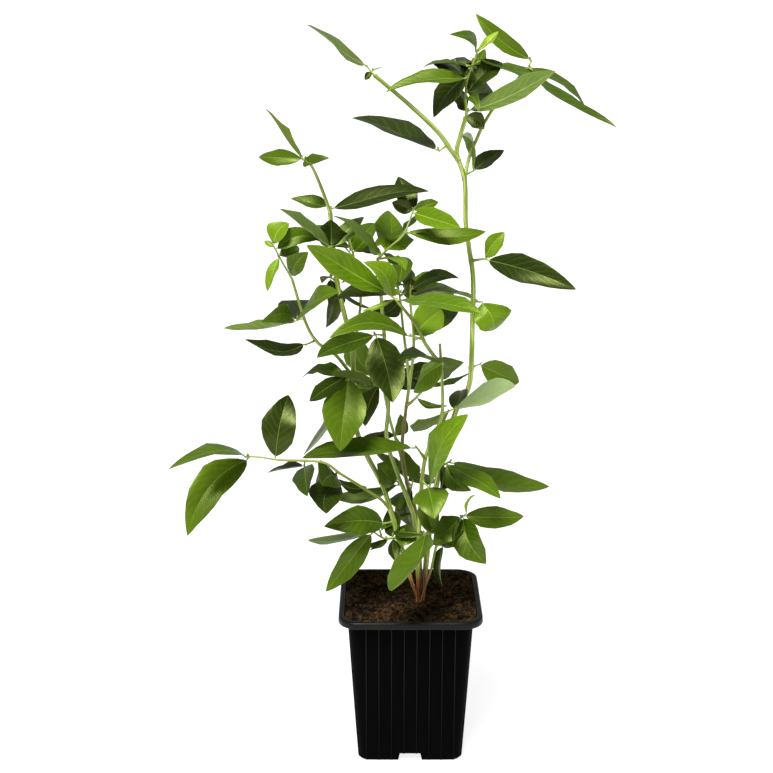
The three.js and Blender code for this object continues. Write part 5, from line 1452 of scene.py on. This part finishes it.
# Over this run of the bumps the finish goes from painted shade, nearly black, in the hollows to brown
# crumbs.
HOLLOW_SHADE = (-0.9, 0.7)        # the bumps from black hollows to brown crumbs


def value_noise(x, y, cell, rng):
    """Smooth noise from -1 to 1 on a lattice of random heights, eased between neighbours."""
    lattice = rng.uniform(-1, 1, (LATTICE, LATTICE))
    gx, gy = x / cell + LATTICE / 2, y / cell + LATTICE / 2
    i, j = np.floor(gx).astype(int), np.floor(gy).astype(int)
    s, t = ease(gx - i, 0, 1), ease(gy - j, 0, 1)
    near = [[lattice[(i + a) % LATTICE, (j + b) % LATTICE] for b in (0, 1)] for a in (0, 1)]
    return (near[0][0] * (1 - s) + near[1][0] * s) * (1 - t) + (near[0][1] * (1 - s) + near[1][1] * s) * t


def soil_bumps(x, y):
    """The sum of the layers of noise, in millimetres about nought."""
    rng = np.random.default_rng(SOIL_SEED)
    return sum(height * value_noise(x, y, cell, rng) for cell, height in SOIL_LAYERS)


def soil_height(x, y):
    """The compost's top: its bumps, damped by the stems' feet, and banked up to the wall."""
    from_crown = np.hypot(x - CROWN[0], y - CROWN[1])
    damp = CALM[0] + CALM[1] * ease(from_crown, *CALM_REACH)
    to_wall = SOIL_HALF - np.maximum(np.abs(x), np.abs(y))
    return SOIL_LEVEL + soil_bumps(x, y) * damp + BANK * (1 - ease(to_wall, 0, BANK_WIDTH))


edge_x, edge_y = np.cos(angles_round(SOIL_PLACES)), np.sin(angles_round(SOIL_PLACES))
stretch = (np.abs(edge_x) ** SQUARENESS + np.abs(edge_y) ** SQUARENESS) ** (-1 / SQUARENESS)
soil_out = np.stack([edge_x, edge_y], axis=1) * stretch[:, None] * SOIL_HALF
top_xy = SOIL_SHARES[:, None, None] * soil_out
top = np.dstack([top_xy, soil_height(top_xy[..., 0], top_xy[..., 1])])
sides = [np.column_stack([soil_out * share, np.full(SOIL_PLACES, SHELF + up)]) for share, up in SOIL_SIDE]
soil_rings = np.concatenate([top, np.stack(sides)])

compost, tree, shader = new_finish("compost", Specular_IOR_Level=0.12)
clods = spread(tree, noise(tree, 420, 6, 0.7), 0.35, 0.68)
threads = spread(tree, noise(tree, 1500, 4, 0.7, (1, 0.3, 1)), 0.52, 0.72)
# The dark in the hollows is painted shade, from the number that the bumps give.
painted_shade_and_tone = from_points(tree, "raised")
earth = blend(tree, sums(tree, "MULTIPLY", clods, painted_shade_and_tone), rgb(8, 6, 3), rgb(102, 74, 40))
dress(tree, shader, blend(tree, sums(tree, "MULTIPLY", threads, 0.45), earth, rgb(90, 60, 38)),
      spread(tree, clods, 0, 1, 0.85, 1.0), sums(tree, "ADD", clods, threads), 0.8, 0.0008)
raised = ease(soil_bumps(soil_rings[..., 0], soil_rings[..., 1]), *HOLLOW_SHADE)
make_piece("compost_bed", [close_rings(soil_rings[None])], [compost], ["compost"],
           facts={"raised": at_points(raised[None], np.array([[0.5, 0.0]]))})

# %% Crumbs and fibres lying on it
CRUMBS = 2300
CRUMB_MARGIN = 1.5          # from the wall
CRUMB_RADIUS = (0.35, 1.5)  # the smallest, and what chance adds
CRUMB_UP = 0.2              # how far its middle lies above the ground, of its radius
CRUMB_PLACES = 6
CRUMB_TILTS = np.pi * np.array([0.2, 0.5, 0.8])
LUMPY = 0.28                # of its radius
SQUASH = (0.6, 1.3)         # along each axis
CRUMB_LIGHT = 1.3           # the lightest crumb, where the lightest ground is 1
FIBRES = 200
FIBRE_MARGIN = 3
FIBRE_EDGE = 1              # no part of a fibre lies nearer than this to the wall
FIBRE_LENGTH = (2.5, 6)     # the shortest, and what chance adds
FIBRE_RADIUS = (0.07, 0.12)     # the thinnest, and what chance adds
FIBRE_SHAPE = np.array([0.4, 1, 1, 1, 1, 1, 0.4])       # of its radius, along it
FIBRE_PLACES = 4
FIBRE_BEND = 1.2            # radians from end to end, at most
FIBRE_UP = 0.25
FIBRE_HOP = 2.5             # the highest arch rises half of this
CUT_CORNERS = 1.72          # nothing lies where |x| + |y| is more, in half widths

rng = np.random.default_rng(SOIL_SEED + 1)


def strewn(count, margin):
    """Random places on the compost, kept off the wall by the margin."""
    x, y = rng.uniform(-1, 1, (2, count)) * (SOIL_HALF - margin)
    keep = np.abs(x) + np.abs(y) < CUT_CORNERS * SOIL_HALF
    return x[keep], y[keep]


x, y = strewn(CRUMBS, CRUMB_MARGIN)
crumb_radii = CRUMB_RADIUS[0] + CRUMB_RADIUS[1] * rng.random(len(x)) ** 4
crumb_centres = np.stack([x, y, soil_height(x, y) + CRUMB_UP * crumb_radii], axis=1)
turn = angles_round(CRUMB_PLACES)
across, up = np.sin(CRUMB_TILTS)[:, None], -np.cos(CRUMB_TILTS)[:, None]
ball = np.stack([across * np.cos(turn), across * np.sin(turn), up + 0 * turn], axis=-1)
lumps = ball[None] * (1 + LUMPY * rng.standard_normal((len(x), len(CRUMB_TILTS), CRUMB_PLACES, 1)))
squash = rng.uniform(*SQUASH, (len(x), 1, 1, 3))
crumb_skin = close_rings(crumb_centres[:, None, None] + lumps * squash * crumb_radii[:, None, None, None])
# On the loose crumbs the same number is only a random tone.
shades = np.repeat(rng.random(len(x)) ** 1.5, len(crumb_skin["points"]) // len(x))
make_piece("compost_crumbs", [crumb_skin], [compost], facts={"raised": CRUMB_LIGHT * shades})

x, y = strewn(FIBRES, FIBRE_MARGIN)
long = FIBRE_LENGTH[0] + FIBRE_LENGTH[1] * rng.random(len(x))
way = rng.uniform(0, 2 * np.pi, len(x))
bend = rng.uniform(-FIBRE_BEND, FIBRE_BEND, len(x))
places = len(FIBRE_SHAPE)
step = np.linspace(-0.5, 0.5, places)
angle = way[:, None] + bend[:, None] * step
walk = np.cumsum(np.stack([np.cos(angle), np.sin(angle)]), axis=2) * long[:, None] / places
limit = SOIL_HALF - FIBRE_EDGE
fibre_x, fibre_y = np.clip(np.stack([x, y])[..., None] + walk, -limit, limit)
hop = rng.random(len(x)) ** 4 * FIBRE_HOP
fibre_z = soil_height(fibre_x, fibre_y) + FIBRE_UP + hop[:, None] * (0.25 - step ** 2) * 2
fibre_lines = np.stack([fibre_x, fibre_y, fibre_z], axis=-1)
fibre_radii = (FIBRE_RADIUS[0] + FIBRE_RADIUS[1] * rng.random(len(x)))[:, None] * FIBRE_SHAPE
fibre_ways = unit(np.gradient(fibre_lines, axis=1))
fibre_rings = round_rings(fibre_lines, fibre_ways, fibre_radii, FIBRE_PLACES, np.array([0, 0, 1.0]))
peat_fibre = two_tone("peat_fibre", 0.2, 130, (0.35, 0.65), (34, 22, 14), (104, 74, 46), (0.7, 0.9), 2000)
make_piece("peat_fibres", [close_rings(fibre_rings)], [peat_fibre])

# %% Sizes of the pieces and the boxes
low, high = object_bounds()
print("pieces: %d, triangles: %d" % (len(PIECES), sum(
    sum(len(p.vertices) - 2 for p in piece.data.polygons) for piece in PIECES)))
print("solid box ", [[round(v / MM, 1) for v in c] for c in cad_box])
print("visual box", [[round(v / MM, 1) for v in c] for c in (low, high)])
